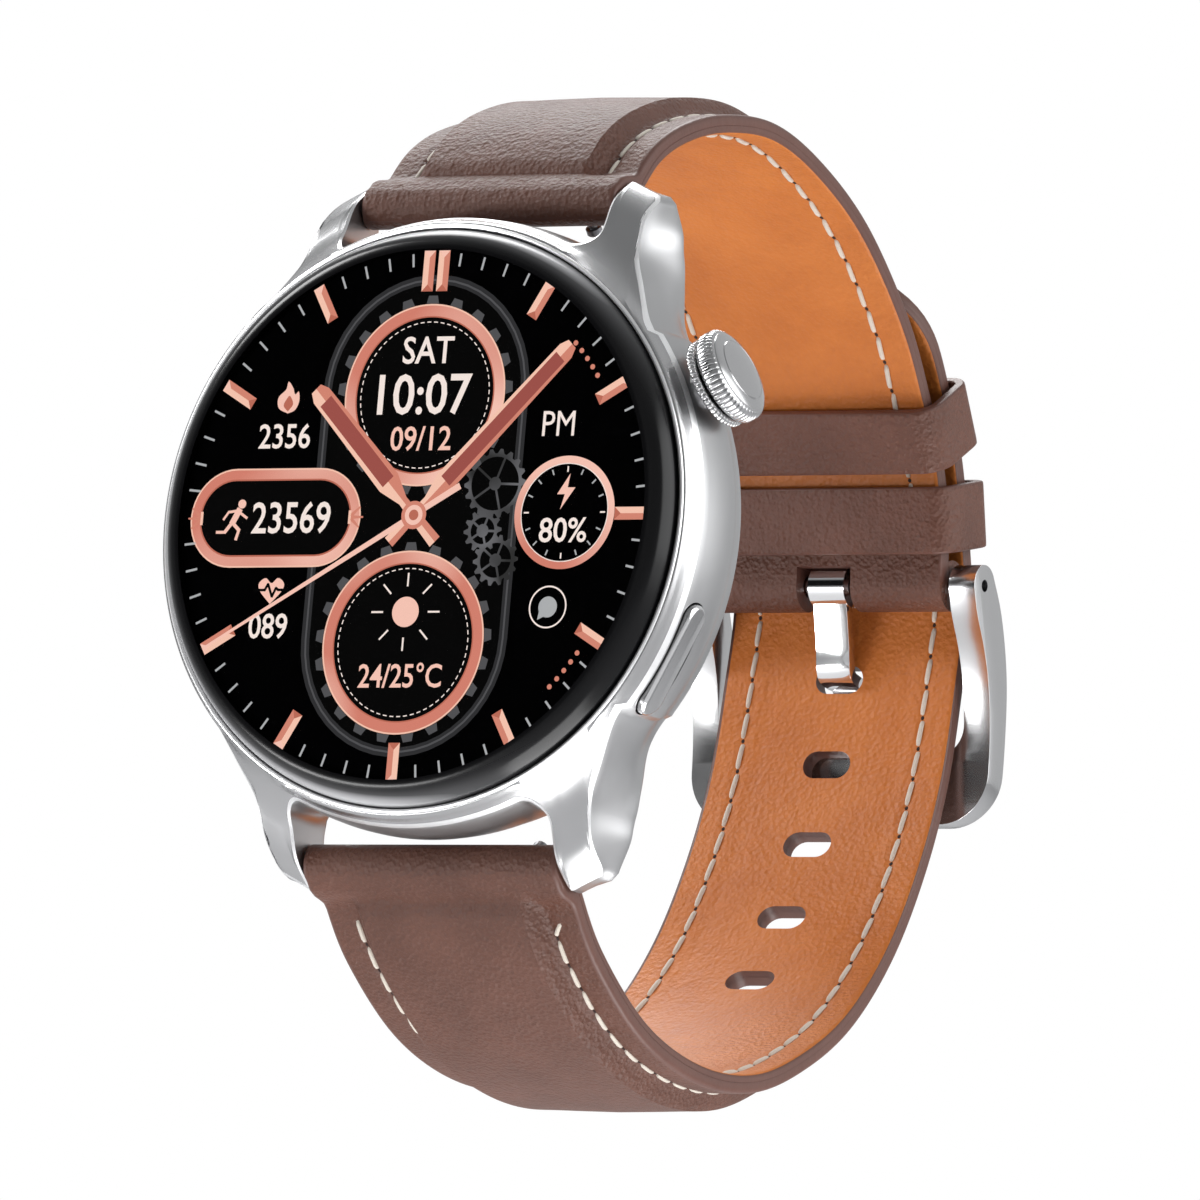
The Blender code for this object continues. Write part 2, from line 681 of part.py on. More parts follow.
def make_upper_strap(path):
    width = upper_width(path)
    fold_start = path.length - BUCKLE_FOLD_LENGTH
    fold_end = fold_start + 0.35
    outer_bottom = LINING_THICKNESS + GLUE_GAP

    def bottom(s):
        return outer_bottom * ramp(s, fold_end, fold_start)

    stations = sorted(list(path.stations) + [fold_start, fold_end])
    top = padded_top(2.6, 6.0, 44.0, 58.0)
    outer = band("upper_strap_outer", path, 1, stations, width, bottom, top, brown_leather(),
                 PAD_COLUMNS)
    buckle_fold = cylinder_along_x("buckle_fold", BUCKLE_FOLD_RADIUS, -UPPER_END_HALF_WIDTH,
                                   UPPER_END_HALF_WIDTH, BUCKLE_Y, BUCKLE_Z, as_helper=True, steps=28)
    join(outer, lug_fold("upper_lug_fold", 1), buckle_fold)
    bar_hole = cylinder_along_x("buckle_fold_hole", BUCKLE_HOLE_RADIUS, -14, 14, BUCKLE_Y, BUCKLE_Z,
                                as_helper=True, steps=20)
    tongue_slot = block("tongue_slot", (4.7, 6.4, 4.6), (0, BUCKLE_Y, BUCKLE_Z - 1.1),
                        as_helper=True)
    barrel_room = cylinder_along_x("barrel_room", TONGUE_BARREL_RADIUS + 0.15, -2.3, 2.3, BUCKLE_Y,
                                   BUCKLE_Z, as_helper=True, steps=28)
    cut(outer, lug_fold_hole("upper_fold_hole", 1), fold_knob_slot("upper_knob_slot", 1), bar_hole,
        tongue_slot, barrel_room)
    lining_stations = [s for s in path.stations if 2.3 < s < fold_start - 0.5]
    lining_stations = [2.1] + lining_stations + [fold_start - 0.3]
    band("upper_strap_lining", path, 1, lining_stations, width, lambda s: 0,
         lambda s, share: LINING_THICKNESS, tan_leather())


def make_lower_strap(path):
    width = lower_width(path)
    top = padded_top(2.6, 6.0, 40.0, 54.0)
    tip = path.length
    fine_tip = [tip - d for d in (9, 7.5, 6, 4.5, 3.2, 2.1, 1.2, 0.5, 0.1)]
    stations = [s for s in path.stations if s < tip - 9.5] + fine_tip
    outer = band("lower_strap_outer", path, -1, stations, width,
                 lambda s: LINING_THICKNESS + GLUE_GAP, top, brown_leather(), PAD_COLUMNS)
    join(outer, lug_fold("lower_lug_fold", -1))
    cut(outer, lug_fold_hole("lower_fold_hole", -1), fold_knob_slot("lower_knob_slot", -1))
    lining_stations = [2.1] + [s for s in stations if s > 2.3]
    lining = band("lower_strap_lining", path, -1, lining_stations, width, lambda s: 0,
                  lambda s, share: LINING_THICKNESS, tan_leather())
    engaged = path.nearest(*ENGAGED_HOLE)
    for number in range(-HOLES_AFTER, HOLES_BEFORE + 1):
        cutter = strap_hole(f"tongue_hole_{number + 3}", path, -1, engaged - number * HOLE_PITCH)
        cut(outer, cutter)
        cut(lining, cutter)


def make_spring_bar(label, side):
    """The tube with its fixed end pin, and the sliding release pin with its knob."""
    y = -BAR_HEIGHT
    z = side * BAR_Z
    tube = cylinder_along_x(f"{label}_spring_bar", TUBE_RADIUS, -10.4, 10.4, y, z, polished_steel())
    fixed_pin = cylinder_along_x(f"{label}_fixed_pin", PIN_RADIUS, -BAR_HALF_LENGTH, -9, y, z,
                                 as_helper=True, steps=16)
    bore = cylinder_along_x(f"{label}_bar_bore", 0.62, 2.5, 11, y, z, as_helper=True, steps=16)
    knob_slot = block(f"{label}_bar_slot", (RELEASE_TRAVEL + 1.6, 1.2, 2.0),
                      (KNOB_X - RELEASE_TRAVEL / 2, 0, 1.0), as_helper=True)
    knob_slot.location = (0, y * MM, z * MM)
    join(tube, fixed_pin)
    cut(tube, bore, knob_slot)
    pin = cylinder_along_x(f"{label}_release_pin", PIN_RADIUS, 4.6, BAR_HALF_LENGTH, y, z,
                           dark_steel(), steps=16)
    knob_profile = ((0, 2.75), (0.45, 2.75), (0.6, 2.6), (0.6, 2.15), (0.36, 2.15), (0.36, 0),
                    (0, 0))
    knob = turned(f"{label}_release_knob", knob_profile, steps=16, as_helper=True)
    knob.location = (KNOB_X * MM, y * MM, z * MM)
    join(pin, knob)
    for piece in (knob_slot, knob):
        piece.rotation_euler = (knob_turn(side), 0, 0)


# ---------------------------------------------------------------- buckle and keepers

def make_buckle():
    side_outline = (
        arc((0, 0), 1.6, 40, 200, 9)
        + [(-0.75, -2.3), (0.75, -4.7), (1.9, -7.3), (2.65, -10.6), (3.0, -14.0), (3.05, -18.5)]
        + [(4.9, -18.5), (5.25, -14.5), (5.2, -11.1), (4.85, -7.4), (4.1, -4.4), (2.85, -1.4)]
    )
    frame = plate("buckle_frame", [side_outline], BUCKLE_OUTER_X + 2, polished_steel())
    show_from_side(frame, BUCKLE_Y, BUCKLE_Z)
    outer, inner = BUCKLE_OUTER_X, BUCKLE_INNER_X
    bottom, sill = -17.9, -12.6
    front_outline = (
        [(outer, 3)] + [(inner, 3)]
        + arc((inner - 2.4, sill + 2.4), 2.4, 0, -90, 6)
        + arc((-inner + 2.4, sill + 2.4), 2.4, -90, -180, 6)
        + [(-inner, 3)] + [(-outer, 3)]
        + arc((-outer + 4, bottom + 4), 4, 180, 270, 8)
        + arc((outer - 4, bottom + 4), 4, 270, 360, 8)
    )
    front = plate("buckle_front_view", [front_outline], 8, as_helper=True)
    front.rotation_euler = (math.pi / 2, 0, 0)
    front.location = (0, (BUCKLE_Y + 2) * MM, BUCKLE_Z * MM)
    combine(frame, front, "INTERSECT")
    bar_seat = cylinder_along_x("bar_seat", BUCKLE_HOLE_RADIUS, -12.4, 12.4, BUCKLE_Y, BUCKLE_Z,
                                as_helper=True, steps=20)
    bar_hole = cylinder_along_x("bar_end_hole", 0.47, -15, 15, BUCKLE_Y, BUCKLE_Z, as_helper=True,
                                steps=20)
    tongue_notch = block("tongue_notch", (3.6, 3.0, 3.2), (0, BUCKLE_Y + 5.85, BUCKLE_Z - 13.9),
                         as_helper=True)
    cut(frame, bar_seat, bar_hole, tongue_notch)
    cylinder_along_x("buckle_bar", BUCKLE_BAR_RADIUS, -12.2, 12.2, BUCKLE_Y, BUCKLE_Z,
                     polished_steel())


def make_tongue():
    """The barrel on the bar, and the blade that steps out through the tail's hole."""
    middle = [(-0.3, -1.1), (0.75, -4.6), (1.25, -6.55), (3.85, -7.3), (4.55, -9.5), (5.05, -14.6)]
    half = TONGUE_THICKNESS / 2
    left, right = [], []
    for index, point in enumerate(middle):
        before = np.array(middle[max(index - 1, 0)])
        after = np.array(middle[min(index + 1, len(middle) - 1)])
        direction = (after - before) / np.linalg.norm(after - before)
        normal = np.array([-direction[1], direction[0]])
        left.append(tuple(np.array(point) + normal * half))
        right.append(tuple(np.array(point) - normal * half))
    blade = plate("buckle_tongue", [left + right[::-1]], TONGUE_WIDTH / 2, polished_steel())
    show_from_side(blade, BUCKLE_Y, BUCKLE_Z)
    barrel = cylinder_along_x("tongue_barrel", TONGUE_BARREL_RADIUS, -1.55, 1.55, BUCKLE_Y, BUCKLE_Z,
                              as_helper=True, steps=28)
    bore = cylinder_along_x("tongue_bore", BUCKLE_HOLE_RADIUS, -3, 3, BUCKLE_Y, BUCKLE_Z,
                            as_helper=True, steps=20)
    join(blade, barrel)
    cut(blade, bore)


def rounded_rectangle(x_half, low, high, low_radius, high_radius):
    return (arc((x_half - low_radius, low + low_radius), low_radius, -90, 0, 6)
            + arc((x_half - high_radius, high - high_radius), high_radius, 0, 90, 6)
            + arc((-x_half + high_radius, high - high_radius), high_radius, 90, 180, 6)
            + arc((-x_half + low_radius, low + low_radius), low_radius, 180, 270, 6))


def tail_reach(path, origin, normal, tangent):
    """How far out the tail's outer face comes, in front of a keeper at origin."""
    reach = 0
    for s in np.arange(path.length - TAIL_LENGTH, path.length, 0.25):
        offset = path.point(s) + path.outward(s, -1) * EDGE_THICKNESS - origin
        if abs(offset @ tangent) < KEEPER_WIDTH / 2 + 0.3:
            reach = max(reach, offset @ normal)
    return reach


def make_keeper(name, upper, lower, centre_z):
    """A leather loop round both strap halves, at a height on the upper half's inner face."""
    half = upper.length / 2
    s = min(np.arange(half, upper.length, 0.1), key=lambda t: abs(upper.point(t)[1] - centre_z))
    origin = upper.point(s)
    normal = upper.outward(s, 1)
    reach = tail_reach(lower, origin, normal, upper.tangent(s)) + KEEPER_CLEARANCE
    low = -KEEPER_INNER_CLEARANCE
    wall = KEEPER_THICKNESS
    inner = rounded_rectangle(KEEPER_HALF_OPENING, low, reach, 1.2, 0.5)
    outer = rounded_rectangle(KEEPER_HALF_OPENING + wall, low - wall, reach + wall, 1.2 + wall,
                              0.5 + wall)
    keeper = plate(name, [outer, inner], KEEPER_WIDTH / 2, brown_leather())
    keeper.rotation_euler = (math.atan2(normal[1], normal[0]), 0, 0)
    keeper.location = Vector((0, *origin)) * MM
    return keeper


def slide_on_arc(keeper):
    """Hangs the free keeper on an empty at the middle of the arc that it slides along."""
    centre = bpy.data.objects.new("keeper_arc_centre", None)
    HELPERS.objects.link(centre)
    centre.location = Vector((0, *KEEPER_ARC_CENTRE)) * MM
    keeper.parent = centre
    keeper.location -= centre.location


# ---------------------------------------------------------------- the watch

clear_scene()
WATCH = make_collection("smartwatch")
HELPERS = make_collection("cutters")

make_mid_case()
make_front()
make_electronics()
make_back()
make_crown()
make_button()
upper_path = smooth_path(UPPER_PATH, 2.6)
lower_path = smooth_path(LOWER_PATH, 2.8)
make_upper_strap(upper_path)
make_lower_strap(lower_path)
make_spring_bar("upper", 1)
make_spring_bar("lower", -1)
make_buckle()
make_tongue()
make_keeper("fixed_keeper", upper_path, lower_path, FIXED_KEEPER_Z)
slide_on_arc(make_keeper("free_keeper", upper_path, lower_path, FREE_KEEPER_Z))
for piece in WATCH.objects:
    if piece.data.polygons:
        shade(piece)
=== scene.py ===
"""Looks of the round smartwatch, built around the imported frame.

Lengths in the constants and in the modelling functions are millimetres, and MM turns them into metres.
+X is the crown side, +Y the wrist side and +Z is 12 o'clock. In the case, "height" is the distance
from the wrist face towards the dial, along -Y.
"""

import json
import math

import bmesh
import bpy
import numpy as np
from mathutils import Matrix, Vector


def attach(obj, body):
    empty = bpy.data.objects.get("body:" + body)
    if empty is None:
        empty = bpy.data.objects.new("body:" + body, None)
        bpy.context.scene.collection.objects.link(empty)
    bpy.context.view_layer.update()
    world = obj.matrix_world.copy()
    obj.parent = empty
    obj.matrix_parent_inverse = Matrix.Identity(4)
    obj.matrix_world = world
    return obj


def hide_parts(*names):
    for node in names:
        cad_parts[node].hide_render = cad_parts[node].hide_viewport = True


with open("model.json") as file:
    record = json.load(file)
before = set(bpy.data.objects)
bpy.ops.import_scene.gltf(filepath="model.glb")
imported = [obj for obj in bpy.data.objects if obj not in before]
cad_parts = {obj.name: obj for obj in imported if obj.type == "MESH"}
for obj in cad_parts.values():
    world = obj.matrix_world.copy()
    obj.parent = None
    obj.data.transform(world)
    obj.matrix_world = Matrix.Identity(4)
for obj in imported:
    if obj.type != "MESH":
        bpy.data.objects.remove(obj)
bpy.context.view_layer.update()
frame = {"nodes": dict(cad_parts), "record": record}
MM = 0.001
QUARTER = math.pi / 2

# Case
RING_EDGE_RADIUS = 22.75
BAND_TOP_RADIUS = 22.02
FRONT_CURVE = ((21.9, 10.0), (22.2, 9.85), (22.75, 8.5), (24.6, 6.6), (27.0, 5.2), (28.8, 2.6),
               (29.4, 1.4))
RING_BULGE = 0.27
RING_TUCK = 0.62
LUG_FLARE = 1.25
LUG_RIDGE = ((17.6, 14.0), (16.8, 15.2), (15.6, 17.5), (14.3, 20.1), (13.9, 22.6), (13.8, 25.15))
LUG_INNER_X = 11.0
LUG_TIP_Z = 26.5
ROOT_FILLET = 1.3
CHAMFER = 0.2
BACK_RADIUS = 20.9
RING_BACK_HEIGHT = 1.7
LUG_BACK_HEIGHT = 1.3

# Spring bars
BAR_Z = 24.8
BAR_HEIGHT = 3.1
FOLD_RADIUS = 1.7
KNOB_X = 7.4

# Crown and button
CROWN_ANGLE = math.radians(26)
CROWN_HEIGHT = 6.0
BUTTON_ANGLE = math.radians(-26.5)
BUTTON_HEIGHT = 6.9
BUTTON_LENGTH = 9.0
BUTTON_WIDTH = 2.3

# Strap
EDGE_THICKNESS = 1.45
LINING_THICKNESS = 0.6
PAD_HEIGHT = 1.5
UPPER_PATH = (
    (-2.17, 23.97), (-0.7, 25.8), (1.9, 28.8), (5.8, 31.1), (11.2, 32.9), (18.3, 33.8), (25.3, 32.6),
    (33.0, 29.5), (40.2, 24.2), (44.4, 19.4), (47.6, 14.6), (49.2, 10.4), (49.8, 6.2),
)
LOWER_PATH = (
    (-2.17, -23.97), (-0.7, -25.8), (3.4, -29.9), (10.9, -34.1), (19.5, -35.8), (27.8, -35.1),
    (35.2, -32.1), (41.2, -28.1), (46.4, -22.2), (50.2, -15.2), (52.5, -8.3), (53.56, -0.7),
    (53.95, 4.6), (53.3, 8.2), (50.7, 15.4), (47.6, 20.6), (44.3, 24.6), (39.6, 28.6),
)
LUG_END_HALF_WIDTH = 10.8
UPPER_END_HALF_WIDTH = 10.2
TAIL_HALF_WIDTH = 10.15
TIP_LENGTH = 9.0
HOLE_PITCH = 6.8
HOLE_LENGTH = 4.1
HOLE_WIDTH = 2.2
ENGAGED_HOLE = (53.5, -0.65)
HOLES_BEFORE = 4
HOLES_AFTER = 2
BUCKLE_FOLD_LENGTH = 3.4
BUCKLE_FOLD_RADIUS = 1.95
BUCKLE_FOLD_BLEND = 0.35
OUTER_UNDERSIDE = 0.55
LINING_START = 2.1
BAR_BORE_RADIUS = 0.82
SEAM_INSET = 2.5
STITCH_LENGTH = 2.1
STITCH_PITCH = 2.45

# Buckle and keepers
BUCKLE_Y = 51.74
BUCKLE_Z = 6.2
KEEPER_WIDTH = 5.1
KEEPER_THICKNESS = 0.8
KEEPER_HALF_OPENING = 10.75
KEEPER_CLEARANCE = 0.3
KEEPER_INNER_CLEARANCE = 0.6
FIXED_KEEPER_Z = 10.9
FREE_KEEPER_Z = 16.7

DIAL_HEIGHT = 11.0
GLASS_TOP = 11.8
GLASS_UNDERSIDE = 11.3
GLASS_FOOT = 9.74
GLASS_RADIUS = 21.5

# Camera, as the direction from the dial's centre and the framing
VIEW_AZIMUTH = math.radians(30.52)
VIEW_ELEVATION = math.radians(-9.12)
VIEW_ROLL = math.radians(4.96)
VIEW_DISTANCE = 1.2228
VIEW_RIGHT = 0.01354
VIEW_UP = -0.00619
VIEW_LENS = 501.5
GLASS_MIRROR = (-0.5, -0.85, 0.158)


# ---------------------------------------------------------------- curves and small maths

def ramp(value, start, end):
    """0 before start, 1 after end, smooth between; start may be the larger."""
    t = np.clip((value - start) / (end - start), 0, 1)
    return t * t * (3 - 2 * t)


def catmull_rom(points, steps=24):
    given = np.array(points, float)
    padded = np.vstack([2 * given[0] - given[1], given, 2 * given[-1] - given[-2]])
    dense = []
    for a, b, c, d in zip(padded, padded[1:], padded[2:], padded[3:]):
        for t in np.linspace(0, 1, steps, endpoint=False):
            dense.append(0.5 * (2 * b + (c - a) * t + (2 * a - 5 * b + 4 * c - d) * t ** 2
                                + (3 * b - a - 3 * c + d) * t ** 3))
    return np.array(dense + [given[-1]])


class Path:
    """A strap's course in the YZ plane, measured along its inner face. It runs on straight at its ends."""

    def __init__(self, points, side):
        self.dense = catmull_rom(points)
        steps = np.linalg.norm(np.diff(self.dense, axis=0), axis=1)
        self.run = np.concatenate([[0], np.cumsum(steps)])
        self.length = self.run[-1]
        self.side = side

    def point(self, s):
        inside = min(max(s, 0), self.length)
        place = np.array([np.interp(inside, self.run, self.dense[:, k]) for k in (0, 1)])
        return place + self.tangent(inside) * (s - inside)

    def tangent(self, s, reach=0.6):
        ends = [np.array([np.interp(x, self.run, self.dense[:, k]) for k in (0, 1)])
                for x in (max(s - reach, 0), min(s + reach, self.length))]
        step = ends[1] - ends[0]
        return step / np.linalg.norm(step)

    def outward(self, s):
        ty, tz = self.tangent(min(max(s, 0), self.length))
        return np.array([-tz, ty]) * self.side

    def nearest(self, y, z):
        return self.run[np.argmin(np.hypot(self.dense[:, 0] - y, self.dense[:, 1] - z))]


def arc(middle, radius, start, end, count=8):
    angles = np.radians(np.linspace(start, end, count))
    return [(middle[0] + radius * math.cos(a), middle[1] + radius * math.sin(a)) for a in angles]


def pill_outline(length, width, count=16):
    radius = width / 2
    half = length / 2 - radius
    return arc((half, 0), radius, -90, 90, count) + arc((-half, 0), radius, 90, 270, count)


def resample(points, count):
    points = np.array(points, float)
    run = np.concatenate([[0], np.cumsum(np.linalg.norm(np.diff(points, axis=0), axis=1))])
    stations = np.linspace(0, run[-1], count)
    return np.column_stack([np.interp(stations, run, points[:, k]) for k in range(points.shape[1])])


# ---------------------------------------------------------------- materials

class Look:
    """A procedural material, with short calls for the nodes that it needs."""

    def __init__(self, name, colour, roughness, metallic=0.0, **sockets):
        self.material = bpy.data.materials.new(name)
        self.material.use_nodes = True
        self.tree = self.material.node_tree
        self.shader = self.tree.nodes["Principled BSDF"]
        self.set("Base Color", (*colour, 1))
        self.set("Roughness", roughness)
        self.set("Metallic", metallic)
        for key, value in sockets.items():
            self.set(key.replace("_", " "), value)

    def set(self, socket, value):
        self.shader.inputs[socket].default_value = value

    def node(self, kind, **inputs):
        made = self.tree.nodes.new("ShaderNode" + kind)
        for key, value in inputs.items():
            self.feed(made.inputs[key.replace("_", " ")], value)
        return made

    def feed(self, socket, value):
        if isinstance(value, bpy.types.NodeSocket):
            self.tree.links.new(value, socket)
        else:
            socket.default_value = value

    def place(self, scale=(1, 1, 1)):
        mapping = self.node("Mapping", Vector=self.node("TexCoord").outputs["Object"])
        mapping.inputs["Scale"].default_value = scale
        return mapping.outputs["Vector"]

    def noise(self, scale, detail=3.0, roughness=0.55):
        made = self.node("TexNoise", Vector=self.place(), Scale=scale, Detail=detail, Roughness=roughness)
        return made.outputs["Fac"]

    def cells(self, scale):
        made = self.node("TexVoronoi", Vector=self.place(), Scale=scale)
        return made.outputs["Distance"]

    def ramp(self, factor, *stops):
        made = self.node("ValToRGB", Fac=factor)
        elements = made.color_ramp.elements
        while len(elements) < len(stops):
            elements.new(0.5)
        for element, (position, colour) in zip(elements, stops):
            element.position = position
            element.color = (*colour, 1)
        return made.outputs["Color"]

    def spread(self, factor, low, high):
        made = self.node("MapRange", Value=factor)
        made.inputs["To Min"].default_value = low
        made.inputs["To Max"].default_value = high
        return made.outputs["Result"]

    def maths(self, operation, a, b):
        made = self.node("Math")
        made.operation = operation
        self.feed(made.inputs[0], a)
        self.feed(made.inputs[1], b)
        return made.outputs["Value"]

    def vector(self, operation, value, other, output):
        made = self.node("VectorMath")
        made.operation = operation
        self.feed(made.inputs[0], value)
        if other is not None:
            made.inputs[1].default_value = other
        return made.outputs[output]

    def within(self, value, start, end):
        """0 before start, 1 after end, smooth between."""
        made = self.node("MapRange", Value=value)
        made.interpolation_type = "SMOOTHSTEP"
        made.inputs["From Min"].default_value = start
        made.inputs["From Max"].default_value = end
        return made.outputs["Result"]

    def painted_rim_highlight(self):
        """Painted highlight: light caught in the glass's rolled edge, painted into the base colour all round
        but on the crown side.
        """
        flat = self.place((1, 0, 1))
        outward = self.within(self.vector("LENGTH", flat, None, "Value"), 20.2 * MM, 21.45 * MM)
        aim = self.vector("NORMALIZE", flat, None, "Vector")
        side = self.within(self.vector("DOT_PRODUCT", aim, (-0.97, 0, 0.25), "Value"), -0.9, -0.1)
        painted_glow = self.maths("MULTIPLY", outward, side)
        return self.ramp(painted_glow, (0.0, (0.003, 0.003, 0.0035)), (0.5, (0.06, 0.06, 0.062)),
                         (1.0, (0.42, 0.42, 0.43)))

    def bump(self, height, distance, strength=1.0, after=None):
        made = self.node("Bump", Height=height, Distance=distance * MM, Strength=strength)
        if after is not None:
            self.feed(made.inputs["Normal"], after)
        return made.outputs["Normal"]

    def colour(self, output):
        self.feed(self.shader.inputs["Base Color"], output)

    def roughen(self, factor, low, high):
        self.feed(self.shader.inputs["Roughness"], self.spread(factor, low, high))

    def normal(self, output):
        self.feed(self.shader.inputs["Normal"], output)


def leather(name, dark, light, roughness, grain_scale=2600, grain_depth=0.05):
    """Fine-grained leather: small pebbles with creases between them, and a slow change of tone."""
    look = Look(name, light, roughness, Specular_IOR_Level=0.42)
    broad = look.noise(140, 4, 0.6)
    fine = look.noise(1500, 3, 0.6)
    tone = look.maths("ADD", look.maths("MULTIPLY", broad, 0.75), look.maths("MULTIPLY", fine, 0.25))
    look.colour(look.ramp(tone, (0.32, dark), (0.66, light)))
    look.roughen(fine, roughness - 0.07, roughness + 0.08)
    pebbles = look.cells(grain_scale)
    creases = look.noise(1500, 5, 0.65)
    first = look.bump(pebbles, grain_depth, 0.55)
    look.normal(look.bump(creases, grain_depth * 2.2, 0.5, first))
    return look.material


def steel(name, colour, roughness, grain=0.0):
    """Steel with an uneven polish, and fine relief where a grain depth is given."""
    look = Look(name, colour, roughness, 1.0)
    scratches = look.noise(700, 4, 0.7)
    look.roughen(scratches, roughness * 0.85, roughness * 1.2)
    if grain:
        look.normal(look.bump(scratches, grain, 0.35))
    return look.material


def lit(name, colour, shade=None):
    """A display colour that gives its own light; shade is a noise scale, its detail and a colour ramp."""
    look = Look(name, (0.001, 0.001, 0.001), 0.6, Specular_IOR_Level=0.0)
    look.set("Emission Color", (*colour, 1))
    look.set("Emission Strength", 1.0)
    if shade:
        scale, detail, stops = shade
        look.feed(look.shader.inputs["Emission Color"], look.ramp(look.noise(scale, detail), *stops))
    return look.material


def clear_glass():
    """Glass that lets lamps and sight straight through, with a mirror by Fresnel on both of its faces."""
    made = bpy.data.materials.new("clear_glass")
    made.use_nodes = True
    nodes, links = made.node_tree.nodes, made.node_tree.links
    nodes.remove(nodes["Principled BSDF"])
    mix = nodes.new("ShaderNodeMixShader")
    fresnel = nodes.new("ShaderNodeFresnel")
    fresnel.inputs["IOR"].default_value = 1.28
    gloss = nodes.new("ShaderNodeBsdfGlossy")
    gloss.inputs["Roughness"].default_value = 0.02
    links.new(fresnel.outputs["Fac"], mix.inputs["Fac"])
    links.new(nodes.new("ShaderNodeBsdfTransparent").outputs["BSDF"], mix.inputs[1])
    links.new(gloss.outputs["BSDF"], mix.inputs[2])
    links.new(mix.outputs["Shader"], nodes["Material Output"].inputs["Surface"])
    return made


SATIN = steel("satin_steel", (0.50, 0.50, 0.505), 0.24)
SIDE = steel("side_steel", (0.48, 0.48, 0.485), 0.36)
# Chamfer steel is polished steel made brighter than real steel: a painted highlight on the case's chamfers
# and the bezel.
CHAMFER_STEEL_HIGHLIGHT = steel("chamfer_steel_painted_highlight", (0.95, 0.95, 0.955), 0.38)
CROWN_STEEL = steel("crown_steel", (0.56, 0.56, 0.565), 0.17)
BRUSHED = steel("brushed_steel", (0.6, 0.6, 0.605), 0.2)
POLISHED = steel("polished_steel", (0.82, 0.82, 0.825), 0.08)
# Dark steel serves the dark sensor rings and frame parts, and also painted shade on the walls of cut holes.
DARK_STEEL_AND_HOLE_SHADE = steel("dark_steel", (0.22, 0.22, 0.23), 0.3, 0.004)
LEATHER = leather("brown_leather", (0.086, 0.031, 0.018), (0.124, 0.048, 0.030), 0.45, 2800, 0.17)
EDGE_PAINT = leather("edge_paint", (0.10, 0.042, 0.031), (0.125, 0.056, 0.042), 0.42, 900, 0.03)
LINING = leather("tan_leather", (0.47, 0.132, 0.019), (0.58, 0.18, 0.030), 0.5, 2600, 0.09)
THREAD = Look("thread", (0.62, 0.56, 0.48), 0.75, Sheen_Weight=0.3)
THREAD.normal(THREAD.bump(THREAD.noise(5200, 2), 0.05, 0.8))
THREAD = THREAD.material
# Needle holes are dark slits: painted shade in the holes between stitches.
NEEDLE_HOLE_SHADE = Look("needle_hole_shade", (0.025, 0.012, 0.01), 0.9)
NEEDLE_HOLE_SHADE.normal(NEEDLE_HOLE_SHADE.bump(NEEDLE_HOLE_SHADE.noise(3000), 0.03))
NEEDLE_HOLE_SHADE = NEEDLE_HOLE_SHADE.material
BLACK_GLASS = Look("black_glass", (0.003, 0.003, 0.0035), 0.2, Specular_IOR_Level=0.22)
BLACK_GLASS.roughen(BLACK_GLASS.noise(300), 0.18, 0.22)
BLACK_GLASS = BLACK_GLASS.material
# The rim glass's base colour carries the painted highlight of the rolled edge.
RIM_GLASS_PAINTED_HIGHLIGHT = Look("rim_glass_painted_highlight", (0.003, 0.003, 0.0035), 0.2, Specular_IOR_Level=0.25)
RIM_GLASS_PAINTED_HIGHLIGHT.roughen(RIM_GLASS_PAINTED_HIGHLIGHT.noise(300), 0.18, 0.22)
RIM_GLASS_PAINTED_HIGHLIGHT.colour(RIM_GLASS_PAINTED_HIGHLIGHT.painted_rim_highlight())
RIM_GLASS_PAINTED_HIGHLIGHT = RIM_GLASS_PAINTED_HIGHLIGHT.material
PANEL = Look("panel_black", (0.0012, 0.0012, 0.0014), 0.5, Specular_IOR_Level=0.0)
PANEL.roughen(PANEL.noise(500), 0.45, 0.55)
PANEL = PANEL.material
CLEAR = clear_glass()
PLASTIC = Look("black_plastic", (0.02, 0.02, 0.021), 0.45)
PLASTIC.normal(PLASTIC.bump(PLASTIC.noise(1800), 0.02))
PLASTIC = PLASTIC.material
RUBBER = Look("black_rubber", (0.016, 0.016, 0.017), 0.7)
RUBBER.normal(RUBBER.bump(RUBBER.noise(1400), 0.03))
RUBBER = RUBBER.material
BOARD = Look("circuit_board", (0.015, 0.1, 0.04), 0.4)
BOARD.colour(BOARD.ramp(BOARD.cells(450), (0.3, (0.01, 0.07, 0.03)), (0.6, (0.03, 0.16, 0.06))))
BOARD = BOARD.material
GOLD = Look("gold_contact", (0.86, 0.58, 0.26), 0.2, 1.0)
GOLD.roughen(GOLD.noise(900), 0.15, 0.3)
GOLD = GOLD.material

ROSE_LIGHT = lit("rose_light", (0.93, 0.56, 0.43))
ROSE_MID = lit("rose_mid", (0.66, 0.24, 0.17))
ROSE_DARK = lit("rose_dark", (0.50, 0.15, 0.10))
ROSE_RING = lit("rose_ring", (0.82, 0.33, 0.24),
                (70, 1, ((0.4, (0.66, 0.22, 0.16)), (0.62, (0.94, 0.56, 0.46)))))
INSERT = lit("hand_insert", (0.34, 0.085, 0.07))
TICK = lit("tick_grey", (0.42, 0.43, 0.44))
DIGIT = lit("digit_white", (0.92, 0.80, 0.74))
DIGIT_ROSE = lit("digit_rose", (0.93, 0.56, 0.46))
GROOVE = lit("groove_grey", (0.03, 0.03, 0.032))
TOOTH = lit("tooth_grey", (0.085, 0.085, 0.09))
GEAR = lit("gear_grey", (0.10, 0.10, 0.105),
           (300, 1, ((0.35, (0.03, 0.03, 0.03)), (0.65, (0.16, 0.16, 0.17)))))
FIELD = lit("field_black", (0.002, 0.002, 0.002))


# ---------------------------------------------------------------- meshes

